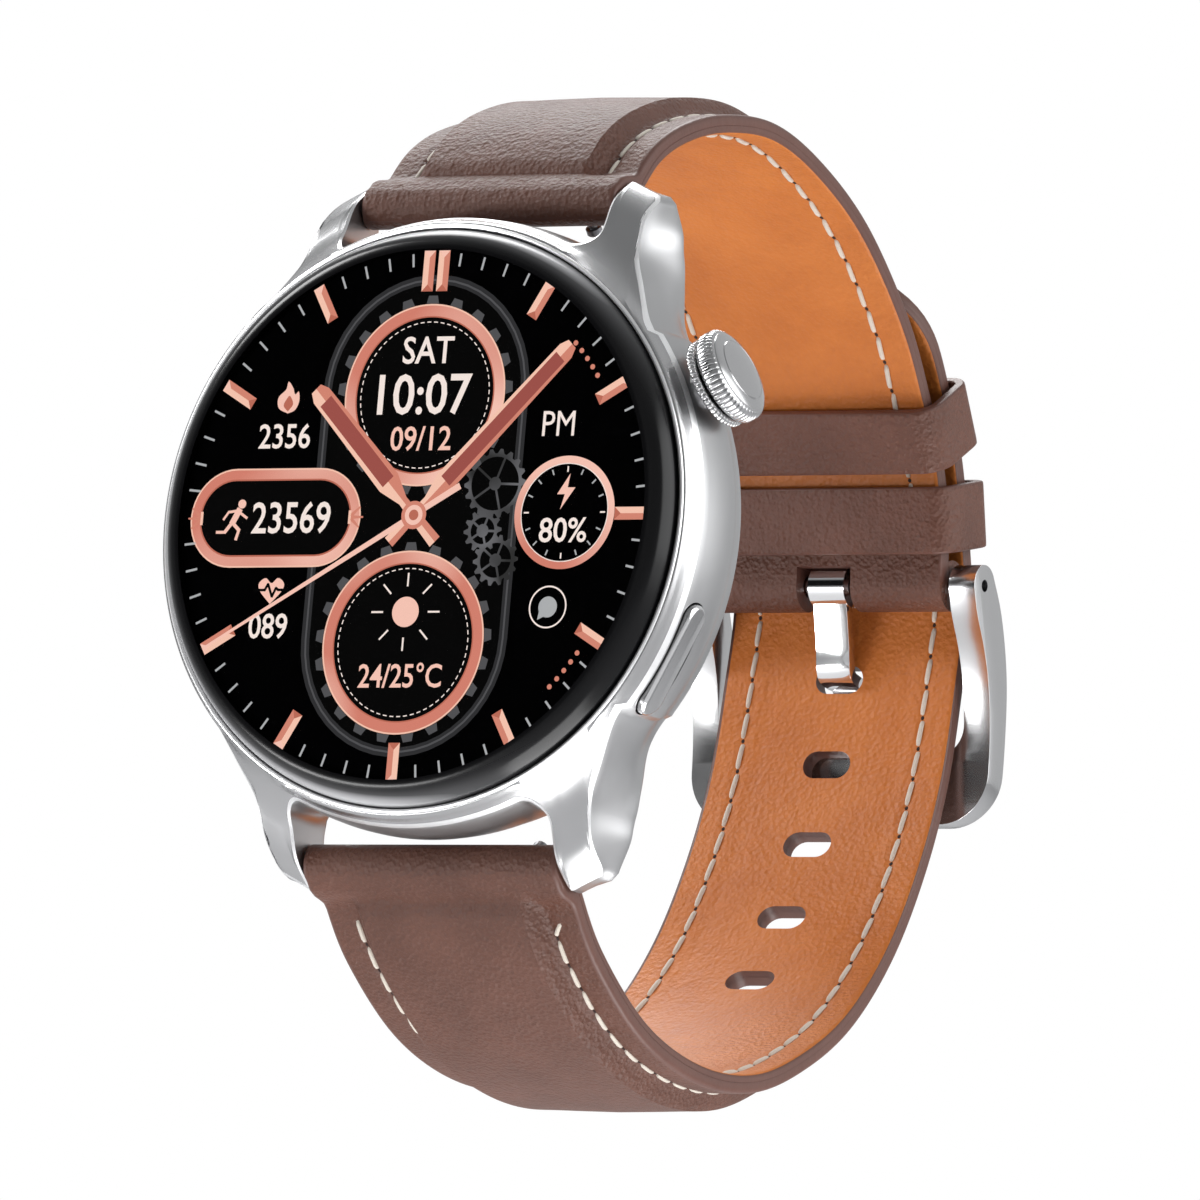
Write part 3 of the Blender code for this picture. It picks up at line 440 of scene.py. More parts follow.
def add_object(name, mesh, materials):
    obj = bpy.data.objects.new(name, mesh)
    bpy.context.scene.collection.objects.link(obj)
    for look in materials:
        mesh.materials.append(look)
    return obj


def finish_mesh(shape, name, materials, degrees=35):
    bmesh.ops.recalc_face_normals(shape, faces=shape.faces)
    mesh = bpy.data.meshes.new(name)
    shape.to_mesh(mesh)
    shape.free()
    mesh.shade_smooth()
    mesh.set_sharp_from_angle(angle=math.radians(degrees))
    return add_object(name, mesh, materials)


def add_loft(shape, sections, caps=True, closed=True, looks=None, around=False):
    """Quads through sections with equal point counts. looks(section, point) picks a material index."""
    rows = [[shape.verts.new(Vector(point) * MM) for point in section] for section in sections]
    count = len(rows[0])
    pairs = list(zip(rows, rows[1:]))
    if around:
        pairs.append((rows[-1], rows[0]))
    for k, (near, far) in enumerate(pairs):
        for i in range(count if closed else count - 1):
            j = (i + 1) % count
            face = shape.faces.new((near[i], near[j], far[j], far[i]))
            if looks:
                face.material_index = looks(k, i)
    if caps and not around:
        for k, row in ((0, rows[0]), (len(rows) - 2, rows[-1])):
            face = shape.faces.new(row)
            if looks:
                face.material_index = looks(k, 0)
    return rows


def loft(name, sections, materials, degrees=35, **options):
    shape = bmesh.new()
    add_loft(shape, sections, **options)
    return finish_mesh(shape, name, materials, degrees)


def revolve(name, profile, materials, steps=192, degrees=30, looks=None):
    """A turned solid about local Z from (radius, height) points; it closes on itself or on the axis."""
    shape = bmesh.new()
    on_axis = profile[0][0] == 0
    middle = profile[1:-1] if on_axis else profile
    sections = []
    for k in range(steps):
        a = 2 * math.pi * k / steps
        sections.append([(r * math.cos(a), r * math.sin(a), h) for r, h in middle])
    rows = add_loft(shape, sections, closed=not on_axis, around=True,
                    looks=(lambda k, i: looks(i)) if looks else None)
    if on_axis:
        for end, height in ((0, profile[0][1]), (-1, profile[-1][1])):
            hub = shape.verts.new(Vector((0, 0, height)) * MM)
            for k in range(steps):
                face = shape.faces.new((hub, rows[k][end], rows[(k + 1) % steps][end]))
                if looks:
                    face.material_index = looks(0 if end == 0 else len(middle) - 1)
    return finish_mesh(shape, name, materials, degrees)


def plate_mesh(name, outlines, half_depth):
    """A flat plate in local XY: closed outlines, where an outline inside another is a hole."""
    curve = bpy.data.curves.new(name, "CURVE")
    curve.dimensions = "2D"
    curve.fill_mode = "BOTH"
    curve.extrude = half_depth * MM
    for outline in outlines:
        spline = curve.splines.new("POLY")
        spline.points.add(len(outline) - 1)
        for point, (x, y) in zip(spline.points, outline):
            point.co = (x * MM, y * MM, 0, 1)
        spline.use_cyclic_u = True
    source = bpy.data.objects.new(name + "_outline", curve)
    bpy.context.scene.collection.objects.link(source)
    mesh = mesh_of(source)
    bpy.data.objects.remove(source)
    return mesh


def mesh_of(obj):
    graph = bpy.context.evaluated_depsgraph_get()
    graph.update()
    return bpy.data.meshes.new_from_object(obj.evaluated_get(graph))


def plate(name, outlines, half_depth, materials):
    shape = bmesh.new()
    shape.from_mesh(plate_mesh(name, outlines, half_depth))
    bmesh.ops.remove_doubles(shape, verts=shape.verts, dist=1e-7)
    return finish_mesh(shape, name, materials)


def move(obj, matrix):
    """Puts a matrix into the mesh, so the object itself stays at the origin."""
    obj.data.transform(matrix)
    return obj


def to_dial(obj):
    return move(obj, Matrix.Rotation(QUARTER, 4, "X"))


def outward_matrix(angle, height):
    turn = Matrix.Rotation(QUARTER - angle, 4, "Y")
    return Matrix.Translation((0, -height * MM, 0)) @ turn


def from_side(obj, y, z):
    """Turns a plate drawn in (y, z) so that its depth runs along X."""
    turn = Matrix.Rotation(QUARTER, 4, "Z") @ Matrix.Rotation(QUARTER, 4, "X")
    return move(obj, Matrix.Translation((0, y * MM, z * MM)) @ turn)


def combine(obj, other, operation):
    """Applies a Boolean with a helper, which is then removed."""
    step = obj.modifiers.new("combine", "BOOLEAN")
    step.object = other
    step.operation = operation
    step.solver = "EXACT"
    step.material_mode = "TRANSFER"
    apply_modifiers(obj)
    bpy.data.objects.remove(other)
    return obj


def apply_modifiers(obj):
    made = mesh_of(obj)
    obj.modifiers.clear()
    obj.data = made
    return obj


def bevel(obj, width, segments=2, degrees=35, index=-1):
    step = obj.modifiers.new("bevel", "BEVEL")
    step.width = width * MM
    step.segments = segments
    step.limit_method = "ANGLE"
    step.angle_limit = math.radians(degrees)
    step.material = index
    step.use_clamp_overlap = True
    apply_modifiers(obj)
    return obj


def shade(obj, degrees=35):
    obj.data.shade_smooth()
    obj.data.set_sharp_from_angle(angle=math.radians(degrees))
    return obj


def give(obj, body, slot, *replaced):
    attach(obj, body)
    if replaced:
        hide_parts(*replaced)
    return obj


# ---------------------------------------------------------------- case

def front_height(radius, curve=catmull_rom(FRONT_CURVE)):
    return np.interp(radius, curve[:, 0], curve[:, 1])


def side_bulge(level, ring_share, lug_share):
    """How far the side stands out from the outline, from level 0 at the front to 1 at the back."""
    ring = RING_BULGE * math.sin(math.pi * min(level / 0.85, 1)) - RING_TUCK * ramp(level, 0.6, 1.0)
    return ring * ring_share + LUG_FLARE * ramp(level, -0.1, 0.95) * lug_share


def flare_share(x, z):
    """Where the lug's outer side sweeps out: not at the ring, and not at the tip."""
    return ramp(z, 15.5, 20.5) * ramp(z, 26.6, 22.0) * ramp(x, 11.6, 13.7)


def quadrant():
    """One quarter of the case's outline as rows of x, z, inner angle, ring share, lug side share."""
    rows = []
    root = math.degrees(math.atan2(LUG_RIDGE[0][1], LUG_RIDGE[0][0]))
    fillet_x = LUG_INNER_X - ROOT_FILLET
    fillet_z = math.sqrt((RING_EDGE_RADIUS + ROOT_FILLET) ** 2 - fillet_x ** 2)
    meet = math.degrees(math.atan2(fillet_z, fillet_x))
    for degrees in np.linspace(0, root, 34)[:-1]:
        a = math.radians(degrees)
        rows.append((RING_EDGE_RADIUS * math.cos(a), RING_EDGE_RADIUS * math.sin(a), degrees, 1, 0))
    ridge = resample(catmull_rom(LUG_RIDGE), 34)
    for k, (x, z) in enumerate(ridge[:-2]):
        share = k / (len(ridge) - 1)
        rows.append((x, z, root + (50 - root) * share, ramp(z, 20.0, 13.9), flare_share(x, z)))
    tip_outer, tip_inner = np.array(ridge[-1]), np.array((LUG_INNER_X, LUG_TIP_Z))
    tip = [ridge[-3] * 0.5 + ridge[-2] * 0.5, ridge[-2], tip_outer * 0.9 + tip_inner * 0.1,
           tip_outer * 0.75 + tip_inner * 0.25, tip_outer * 0.5 + tip_inner * 0.5,
           tip_outer * 0.25 + tip_inner * 0.75, tip_inner + (0.28, -0.13), tip_inner + (0.07, -0.1),
           tip_inner + (0, -0.3)]
    for k, (x, z) in enumerate(tip):
        rows.append((x, z, 50 + 5 * (k + 1) / len(tip), 0, flare_share(x, z)))
    for share in np.linspace(0.12, 1, 14):
        z = LUG_TIP_Z + (fillet_z - LUG_TIP_Z) * share
        rows.append((LUG_INNER_X, z, 55 + 5.3 * share, 0, 0))
    for k, (x, z) in enumerate(arc((fillet_x, fillet_z), ROOT_FILLET, 0, -(180 - meet), 11)[1:]):
        share = (k + 1) / 10
        rows.append((x, z, 60.3 + (meet - 60.3) * share, ramp(share, 0, 1), 0))
    for degrees in np.linspace(meet, 90, 16)[1:]:
        a = math.radians(degrees)
        rows.append((RING_EDGE_RADIUS * math.cos(a), RING_EDGE_RADIUS * math.sin(a), degrees, 1, 0))
    return np.array(rows)


def case_outline():
    """The whole outline, counter-clockwise from 3 o'clock in (x, z)."""
    one = quadrant()
    two = one[::-1][1:].copy()
    two[:, 0] *= -1
    two[:, 2] = 180 - two[:, 2]
    half = np.vstack([one, two])
    rest = half[::-1][1:-1].copy()
    rest[:, 1] *= -1
    rest[:, 2] = 360 - rest[:, 2]
    return np.vstack([half, rest])


def outline_normals(points):
    ahead = np.roll(points, -1, axis=0) - points
    behind = points - np.roll(points, 1, axis=0)
    unit = ahead / np.linalg.norm(ahead, axis=1)[:, None] + behind / np.linalg.norm(behind, axis=1)[:, None]
    unit /= np.linalg.norm(unit, axis=1)[:, None]
    return np.column_stack([unit[:, 1], -unit[:, 0]])


def make_case():
    data = case_outline()
    edge = data[:, :2]
    normals = outline_normals(edge)
    angles = np.radians(data[:, 2])
    ring_share, lug_share = data[:, 3], data[:, 4]
    unit = np.column_stack([np.cos(angles), np.sin(angles)])

    def loop(flat, heights):
        heights = np.broadcast_to(heights, len(flat))
        return [(x, -h, z) for (x, z), h in zip(flat, heights)]

    sections, looks = [], []
    inset = edge - normals * CHAMFER
    top = unit * BAND_TOP_RADIUS
    for share in (0, 0.12, 0.25, 0.4, 0.55, 0.7, 0.85, 1):
        flat = top + (inset - top) * share
        sections.append(loop(flat, front_height(np.hypot(*flat.T))))
        looks.append(0)
    # The chamfer band takes the brighter chamfer steel, a painted highlight.
    looks[-1] = 1
    front = front_height(np.hypot(*edge.T)) - CHAMFER * 0.9
    back = LUG_BACK_HEIGHT + (RING_BACK_HEIGHT - LUG_BACK_HEIGHT) * ring_share
    levels = (0, 0.1, 0.2, 0.32, 0.45, 0.58, 0.7, 0.78, 0.85, 0.9, 0.94, 0.97, 1)
    for level in levels:
        bulge = side_bulge(level, ring_share, lug_share)
        rounding = 0.25 * ramp(level, 0.93, 1.0) * (1 - ring_share)
        flat = edge + normals * (bulge - rounding)[:, None]
        sections.append(loop(flat, front + (back - front) * level))
        looks.append(2)
    last = edge + normals * (side_bulge(1, ring_share, lug_share) - 0.25 * (1 - ring_share))[:, None]
    below = unit * BACK_RADIUS
    for share in (0.3, 0.65):
        sections.append(loop(last + (below - last) * share, back + (RING_BACK_HEIGHT - back) * share))
        looks.append(2)
    for radius, height in ((BACK_RADIUS, RING_BACK_HEIGHT), (BACK_RADIUS, 2.8), (20.4, 2.8), (20.4, 9.3),
                           (BAND_TOP_RADIUS - 0.02, 9.3), (BAND_TOP_RADIUS - 0.02, 9.6)):
        sections.append(loop(unit * radius, height))
        looks.append(0)
    case = loft("case_body", sections, [SATIN, CHAMFER_STEEL_HIGHLIGHT, SIDE], 28, around=True,
                looks=lambda k, i: looks[k])
    track = pill_outline(BUTTON_LENGTH + 0.24, BUTTON_WIDTH + 0.24, 24)
    # The pocket's walls take dark steel: painted shade in the recess round the button.
    pocket = plate("button_pocket", [track], 2.0, [DARK_STEEL_AND_HOLE_SHADE])
    outward = Vector((math.cos(BUTTON_ANGLE), 0, math.sin(BUTTON_ANGLE)))
    move(pocket, Matrix.Translation(outward * 23.4 * MM) @ outward_matrix(BUTTON_ANGLE, BUTTON_HEIGHT))
    combine(case, pocket, "DIFFERENCE")
    shade(case, 28)
    give(case, "case", "satin_steel", "mid_case")


def make_front():
    # The bezel takes the brighter chamfer steel, a painted highlight.
    bezel = revolve("bezel", ((21.62, 9.95), (21.68, 10.1), (21.82, 10.15), (21.95, 10.1), (22.03, 9.95),
                              (22.03, 9.4), (21.6, 9.4)), [CHAMFER_STEEL_HIGHLIGHT], 256)
    top, underside, foot = GLASS_TOP, GLASS_UNDERSIDE, GLASS_FOOT
    rim = [(20.05, top - 0.02), (20.4, top - 0.1), (20.72, top - 0.28), (20.98, top - 0.54),
           (21.18, top - 0.85), (21.33, top - 1.15), (21.43, top - 1.45), (GLASS_RADIUS, top - 1.72)]
    profile = [(0, top), (8, top), (16, top), (19.3, top - 0.002), (19.75, top - 0.01)] + rim + [
        (GLASS_RADIUS, foot), (20.42, foot), (20.42, underside), (12, underside), (0, underside)]
    # The rolled rim takes the rim glass, whose base colour holds a painted highlight.
    outer_rim = range(3, 14)
    glass = revolve("glass", profile, [CLEAR, RIM_GLASS_PAINTED_HIGHLIGHT], 256, 40,
                    looks=lambda i: 1 if i in outer_rim else 0)
    give(to_dial(bezel), "case", "polished_steel", "bezel_ring")
    give(to_dial(glass), "case", "clear_glass", "cover_glass")


def make_back():
    cover = revolve("case_back", ((20.72, 2.5), (20.72, 1.65), (20.55, 1.42), (20.2, 1.28), (18, 1.02),
                                  (16, 0.78), (14, 0.55), (13.6, 0.5), (13.42, 0.52), (13.36, 0.6),
                                  (13.36, 1.15), (11.4, 1.15), (11.4, 2.5)), [POLISHED], 192, 24)
    window = revolve("sensor_lens", ((0, 1.0), (13.0, 1.0), (13.0, 0.4), (12.92, 0.2), (12.72, 0.06),
                                     (12.4, 0.01), (6, 0.005), (0, 0.005)), [BLACK_GLASS], 192)
    give(to_dial(cover), "case", "satin_steel", "back_cover")
    give(to_dial(window), "case", "black_glass", "sensor_window")
    for number, x, z in ((1, 3.2, 0), (2, -3.2, 0), (3, 0, 3.2), (4, 0, -3.2)):
        ring = revolve(f"sensor_ring_{number}", ((1.5, 0.02), (1.5, -0.02), (1.3, -0.02), (1.3, 0.02)),
                       [DARK_STEEL_AND_HOLE_SHADE], 48)
        to_dial(ring)
        move(ring, Matrix.Translation((x * MM, 0, z * MM)))
        give(ring, "case", "dark_steel")


# ---------------------------------------------------------------- crown and button

def knurled(name, profile, depth, teeth, materials, body, slot, replaced):
    """A turned piece about local Z whose outer wall has rounded grooves; depth(k) is per profile point."""
    around = teeth * 8
    sections = []
    for k, (radius, height) in enumerate(profile):
        section = []
        for index in range(around):
            angle = 2 * math.pi * index / around
            groove = max(0, math.cos(angle * teeth)) ** 3 * depth[k]
            section.append(((radius - groove) * math.cos(angle), (radius - groove) * math.sin(angle), height))
        sections.append(section)
    obj = loft(name, sections, materials, 50)
    move(obj, outward_matrix(CROWN_ANGLE, CROWN_HEIGHT))
    return give(obj, body, slot, replaced)


def make_crown():
    knurled("crown_skirt", ((0.9, 23.6), (3.0, 23.6), (3.3, 23.66), (3.45, 23.78), (3.45, 24.06), (3.3, 24.2),
                            (3.0, 24.27), (0.9, 24.27)), (0, 0, 0.05, 0.14, 0.14, 0.05, 0, 0), 52,
            [CROWN_STEEL], "crown", "polished_steel", "crown_collar")
    knurled("crown_rim", ((0.9, 24.42), (2.7, 24.42), (3.3, 24.5), (3.54, 24.66), (3.6, 24.85), (3.6, 25.5),
                          (3.54, 25.7), (3.4, 25.88), (3.2, 26.0), (2.6, 26.08), (0.9, 26.08)),
            (0, 0, 0.06, 0.14, 0.17, 0.17, 0.14, 0.05, 0, 0, 0), 52,
            [CROWN_STEEL], "crown", "polished_steel", "crown_knob")
    profile = ((0, 26.55), (0.8, 26.53), (1.6, 26.47), (2.3, 26.35), (2.36, 26.29), (2.44, 26.32),
               (2.95, 26.18), (3.12, 26.08), (3.15, 26.0), (0.5, 25.9), (0, 25.9))
    cap = revolve("crown_face", profile, [CROWN_STEEL], 96, 25)
    move(cap, outward_matrix(CROWN_ANGLE, CROWN_HEIGHT))
    give(cap, "crown", "polished_steel", "crown_cap")


def make_button():
    outline = np.array(pill_outline(BUTTON_LENGTH, BUTTON_WIDTH, 24))
    sections = []
    axis_matrix = outward_matrix(BUTTON_ANGLE, BUTTON_HEIGHT)
    for inset, rise in ((0, -0.93), (0, -0.4), (0, 0.0), (0.05, 0.08), (0.17, 0.17), (0.25, 0.19)):
        scale_x = 1 - inset / (BUTTON_LENGTH / 2)
        scale_y = 1 - inset / (BUTTON_WIDTH / 2)
        section = []
        for x, y in outline:
            px, py = x * scale_x, y * scale_y
            curved = math.sqrt(23.17 ** 2 - px ** 2)
            section.append((px, py, curved + rise))
        sections.append(section)
    shape = bmesh.new()
    add_loft(shape, sections, caps=False, looks=lambda k, i: 1 if k in (2, 3) else 0)
    shape.verts.ensure_lookup_table()
    count = len(outline)
    shape.faces.new(shape.verts[:count])
    top = shape.verts[-count:]
    half = count // 2
    for i in range(half - 1):
        a, b = top[i], top[i + 1]
        c, d = top[count - 2 - i], top[count - 1 - i]
        shape.faces.new((a, b, c, d))
    button = finish_mesh(shape, "button", [SATIN, POLISHED], 25)
    move(button, axis_matrix)
    stem = revolve("button_stem", ((0, 22.4), (0.6, 22.4), (0.6, 18.6), (0, 18.6)), [SATIN], 24)
    move(stem, axis_matrix)
    give(button, "button", "satin_steel", "button_cap")
    give(stem, "button", "satin_steel")


# ---------------------------------------------------------------- strap

def upper_width(s, path):
    return np.interp(s, (0, path.length), (LUG_END_HALF_WIDTH, UPPER_END_HALF_WIDTH))


def lower_width(s, path):
    taper = np.interp(s, (0, path.length - 30), (LUG_END_HALF_WIDTH, TAIL_HALF_WIDTH))
    left = min(max(path.length - s, 0), TIP_LENGTH)
    return taper * max((1 - (1 - left / TIP_LENGTH) ** 2.4) ** 0.5, 0.12)


SIDE_STEPS = (0, 0.02, 0.09, 0.2, 0.36, 0.6, 1.0, 1.45, 1.75, 1.95, 2.1, 2.3, 2.5, 2.7, 2.95, 3.25,
              3.55, 3.9, 4.3, 4.8, 5.6, 7.2)
EDGE_ROUND = 0.36
SEAM_DIP = 0.18


def across(half_width):
    """Every x of a section from the right edge to the left one, with its distance from the edge."""
    steps = [min(step, half_width * step / 10.0) if half_width < 8 else step for step in SIDE_STEPS]
    right = [(step, half_width - step) for step in steps] + [(half_width, 0.0)]
    return right + [(step, -x) for step, x in right[-2::-1]]


def edge_drop(step, radius=EDGE_ROUND):
    if step >= radius:
        return 0
    return radius - math.sqrt(radius ** 2 - (radius - step) ** 2)


def outer_top(s, step, fade_start, fade_end):
    """Height of the outer leather: a fold over the bar, stitched edges and a padded middle."""
    fold_top = EDGE_THICKNESS + PAD_HEIGHT
    fold = (fold_top - EDGE_THICKNESS) * ramp(s, 3.4, 0.9)
    along = ramp(s, 1.0, 3.2) * ramp(s, fade_end, fade_start)
    pad = PAD_HEIGHT * along * ramp(step, SEAM_INSET + 0.25, SEAM_INSET + 1.45)
    crown = 0.12 * along * ramp(step, 4.0, 10.5)
    seam = SEAM_DIP * math.exp(-((step - SEAM_INSET) / 0.22) ** 2) * ramp(s, 3.4, 5.0)
    return EDGE_THICKNESS + max(fold, pad) * 0.9 + min(fold, pad) * 0.25 + crown - seam


def strap_layer(name, path, stations, width_of, top, bottom, materials):
    """A layer of leather, brown or tan on its faces and painted on its edges."""
    sections = []
    for s in stations:
        centre, out = path.point(s), path.outward(s)
        width = width_of(s)
        upper, lower = [], []
        share = min(1, (top(s, width) - bottom(s)) / 0.9)
        for step, x in across(width):
            y, z = centre + out * (top(s, step) - edge_drop(step) * share)
            upper.append((x, y, z))
        for step, x in across(width)[::-1]:
            y, z = centre + out * (bottom(s) + edge_drop(step, 0.12) * share)
            lower.append((x, y, z))
        sections.append(upper + lower)
    count = len(sections[0])
    half = count // 2
    painted = 4

    def looks(k, i):
        j = i if i < half else count - 1 - i
        return 1 if j < painted or j >= half - 1 - painted or i == half - 1 else 0

    return loft(name, sections, materials, 40, looks=looks)


def fold_nose():
    """Stations before the spring bar, which follow the round of the fold."""
    return [-FOLD_RADIUS * math.cos(a) for a in np.radians((4, 12, 22, 34, 47, 60, 75))]


def bar_offset(path):
    """How far the bar's middle is above the path's inner face at its start, and its distance along."""
    centre = np.array((-BAR_HEIGHT, BAR_Z * path.side))
    offset = centre - path.point(0)
    return offset @ path.outward(0), offset @ path.tangent(0)


def make_outer(name, path, stations, width_of, fade, under):
    rise, along = bar_offset(path)

    def half_chord(s):
        d = min(abs(s - along), FOLD_RADIUS)
        return math.sqrt(FOLD_RADIUS ** 2 - d * d)

    def top(s, step):
        if s < along:
            return rise + max(half_chord(s), 0.05)
        return outer_top(s, step, *fade)

    def bottom(s):
        if s < along:
            return rise - max(half_chord(s), 0.05)
        folded = (rise - FOLD_RADIUS) * ramp(s, 2.0, along)
        return folded if s < 2.15 else under(s)

    nose = [along + d for d in fold_nose()]
    return strap_layer(name, path, nose + list(stations), width_of, top, bottom, [LEATHER, EDGE_PAINT])


def make_lining(name, path, stations, width_of):
    sections = []
    for s in stations:
        centre, out = path.point(s), path.outward(s)
        width = width_of(s)
        section = []
        for step, x in across(width):
            section.append((x, *(centre + out * LINING_THICKNESS)))
        for step, x in across(width)[::-1]:
            seam = 0.07 * math.exp(-((step - SEAM_INSET) / 0.22) ** 2)
            press = 0.05 * math.exp(-((step - SEAM_INSET - 1.6) / 0.3) ** 2)
            section.append((x, *(centre + out * (edge_drop(step, 0.3) + seam + press))))
        sections.append(section)
    count = len(sections[0])
    half = count // 2

    def looks(k, i):
        j = i if i < half else count - 1 - i
        return 1 if j < 3 or j >= half - 4 or i == half - 1 else 0

    return loft(name, sections, [LINING, EDGE_PAINT], 40, looks=looks)


def hole_cutter(path, s):
    cutter = plate("hole_cutter", [pill_outline(HOLE_LENGTH, HOLE_WIDTH, 14)], 4, [EDGE_PAINT])
    across_x = Vector((1, 0, 0))
    along = Vector((0, *path.tangent(s)))
    matrix = Matrix((across_x, along, across_x.cross(along))).transposed().to_4x4()
    y, z = path.point(s) + path.outward(s) * EDGE_THICKNESS / 2
    matrix.translation = Vector((0, y, z)) * MM
    return move(cutter, matrix)


def block(name, size, middle, materials):
    x, y, z = (value / 2 for value in size)
    obj = plate(name, [[(-x, -y), (x, -y), (x, y), (-x, y)]], z, materials)
    return move(obj, Matrix.Translation(Vector(middle) * MM))


def knob_slot(side):
    slot = block("knob_slot", (3.5, 1.7, 4.0), (KNOB_X - 0.75, 0, 2.0), [EDGE_PAINT])
    turn = Matrix.Rotation(math.radians(-45 if side < 0 else -135), 4, "X")
    return move(slot, Matrix.Translation((0, -BAR_HEIGHT * MM, side * BAR_Z * MM)) @ turn)


def cylinder(name, radius, x_from, x_to, y, z, materials, steps=48):
    obj = revolve(name, ((0, x_to), (radius, x_to), (radius, x_from), (0, x_from)), materials, steps)
    return move(obj, Matrix.Translation((0, y * MM, z * MM)) @ Matrix.Rotation(QUARTER, 4, "Y"))


def make_upper_strap(path):
    def width_of(s):
        return upper_width(s, path)

    fold_start = path.length - BUCKLE_FOLD_LENGTH
    stations = np.linspace(0.05, path.length, 130)
    outer = make_outer("upper_strap", path, stations, width_of, (44.0, 58.0),
                       lambda s: OUTER_UNDERSIDE * ramp(s, fold_start + BUCKLE_FOLD_BLEND, fold_start))
    fold = cylinder("buckle_fold", BUCKLE_FOLD_RADIUS, -UPPER_END_HALF_WIDTH, UPPER_END_HALF_WIDTH,
                    BUCKLE_Y, BUCKLE_Z, [LEATHER], 56)
    combine(outer, fold, "UNION")
    combine(outer, block("tongue_slot", (4.7, 6.4, 4.6), (0, BUCKLE_Y, BUCKLE_Z - 1.1), [EDGE_PAINT]),
            "DIFFERENCE")
    room = cylinder("barrel_room", 1.75, -2.3, 2.3, BUCKLE_Y, BUCKLE_Z, [EDGE_PAINT])
    combine(outer, room, "DIFFERENCE")
    bore = cylinder("bar_bore", BAR_BORE_RADIUS, -14, 14, BUCKLE_Y, BUCKLE_Z, [EDGE_PAINT])
    combine(outer, bore, "DIFFERENCE")
    combine(outer, knob_slot(1), "DIFFERENCE")
    shade(outer, 40)
    give(outer, "case", "brown_leather", "upper_strap_outer")
    lining_stations = np.linspace(LINING_START, fold_start - 0.3, 100)
    lining = make_lining("upper_lining", path, lining_stations, width_of)
    give(lining, "case", "tan_leather", "upper_strap_lining")


def make_lower_strap(path):
    def width_of(s):
        return lower_width(s, path)

    tip = path.length
    fine_tip = [tip - d for d in (9, 8.2, 7.4, 6.6, 5.8, 5.0, 4.2, 3.4, 2.7, 2.1, 1.6, 1.15, 0.8, 0.5,
                                  0.3, 0.15, 0.06)]
    stations = list(np.linspace(0.05, tip - 9.6, 180)) + fine_tip
    outer = make_outer("lower_strap", path, stations, width_of, (40.0, 54.0), lambda s: OUTER_UNDERSIDE)
    lining = make_lining("lower_lining", path, [LINING_START] + [s for s in stations if s > 2.4], width_of)
    engaged = path.nearest(*ENGAGED_HOLE)
    for number in range(-HOLES_AFTER, HOLES_BEFORE + 1):
        for piece in (outer, lining):
            combine(piece, hole_cutter(path, engaged - number * HOLE_PITCH), "DIFFERENCE")
    combine(outer, knob_slot(-1), "DIFFERENCE")
    shade(outer, 40)
    shade(lining, 40)
    give(outer, "case", "brown_leather", "lower_strap_outer")
    give(lining, "case", "tan_leather", "lower_strap_lining")


# ---------------------------------------------------------------- stitching

def add_stitch(shape, start, end, up, thread=0.18, sink=0.16):
    """One stitch as an arched, tapered thread between two points on the leather."""
    start, end, up = Vector(start), Vector(end), Vector(up)
    along = (end - start).normalized()
    side = along.cross(up).normalized()
    sections = []
    for share, size, lift in ((0, 0.45, -sink), (0.06, 0.8, 0.0), (0.2, 1, 0.05), (0.5, 1, 0.07),
                              (0.8, 1, 0.05), (0.94, 0.8, 0.0), (1, 0.45, -sink)):
        middle = start + (end - start) * share + up * lift
        section = []
        for k in range(8):
            a = math.pi * k / 4
            section.append(middle + (side * math.cos(a) * 1.1 + up * math.sin(a)) * thread * size)
        sections.append(section)
    add_loft(shape, sections)


def add_needle_hole_shade(shape, middle, along, up):
    """A dark slit where the thread goes down: painted shade inside the needle hole."""
    middle, along, up = Vector(middle), Vector(along), Vector(up)
    side = along.cross(up).normalized()
    sections = []
    for share in (-1, -0.6, 0, 0.6, 1):
        size = math.sqrt(1 - share * share * 0.96)
        centre = middle + along * share * 0.17
        section = []
        for k in range(6):
            a = math.pi * k / 3
            section.append(centre + side * math.cos(a) * 0.15 * size + up * math.sin(a) * 0.045 * size)
        sections.append(section)
    add_loft(shape, sections, looks=lambda k, i: 1)


def stitch_row(shape, path, line, height, sign):
    """Stitches along a line of (x, s) points at a height; sign is +1 outside and -1 on the lining."""
    dense = resample(line, 1200)
    run = np.concatenate([[0], np.cumsum(np.linalg.norm(np.diff(dense, axis=0), axis=1))])

    def at(distance):
        x, s = (np.interp(distance, run, dense[:, k]) for k in (0, 1))
        y, z = path.point(s) + path.outward(s) * height(s)
        return Vector((x, y, z)), Vector((0, *(path.outward(s) * sign)))

    count = int(run[-1] / STITCH_PITCH)
    for k in range(count):
        start, up = at(k * STITCH_PITCH)
        end, _ = at(k * STITCH_PITCH + STITCH_LENGTH)
        slant = up.cross(end - start).normalized() * 0.07
        add_stitch(shape, start + slant, end - slant, up)
        gap, up = at(k * STITCH_PITCH + (STITCH_LENGTH + STITCH_PITCH) / 2)
        add_needle_hole_shade(shape, gap + up * 0.01, (end - start).normalized(), up)


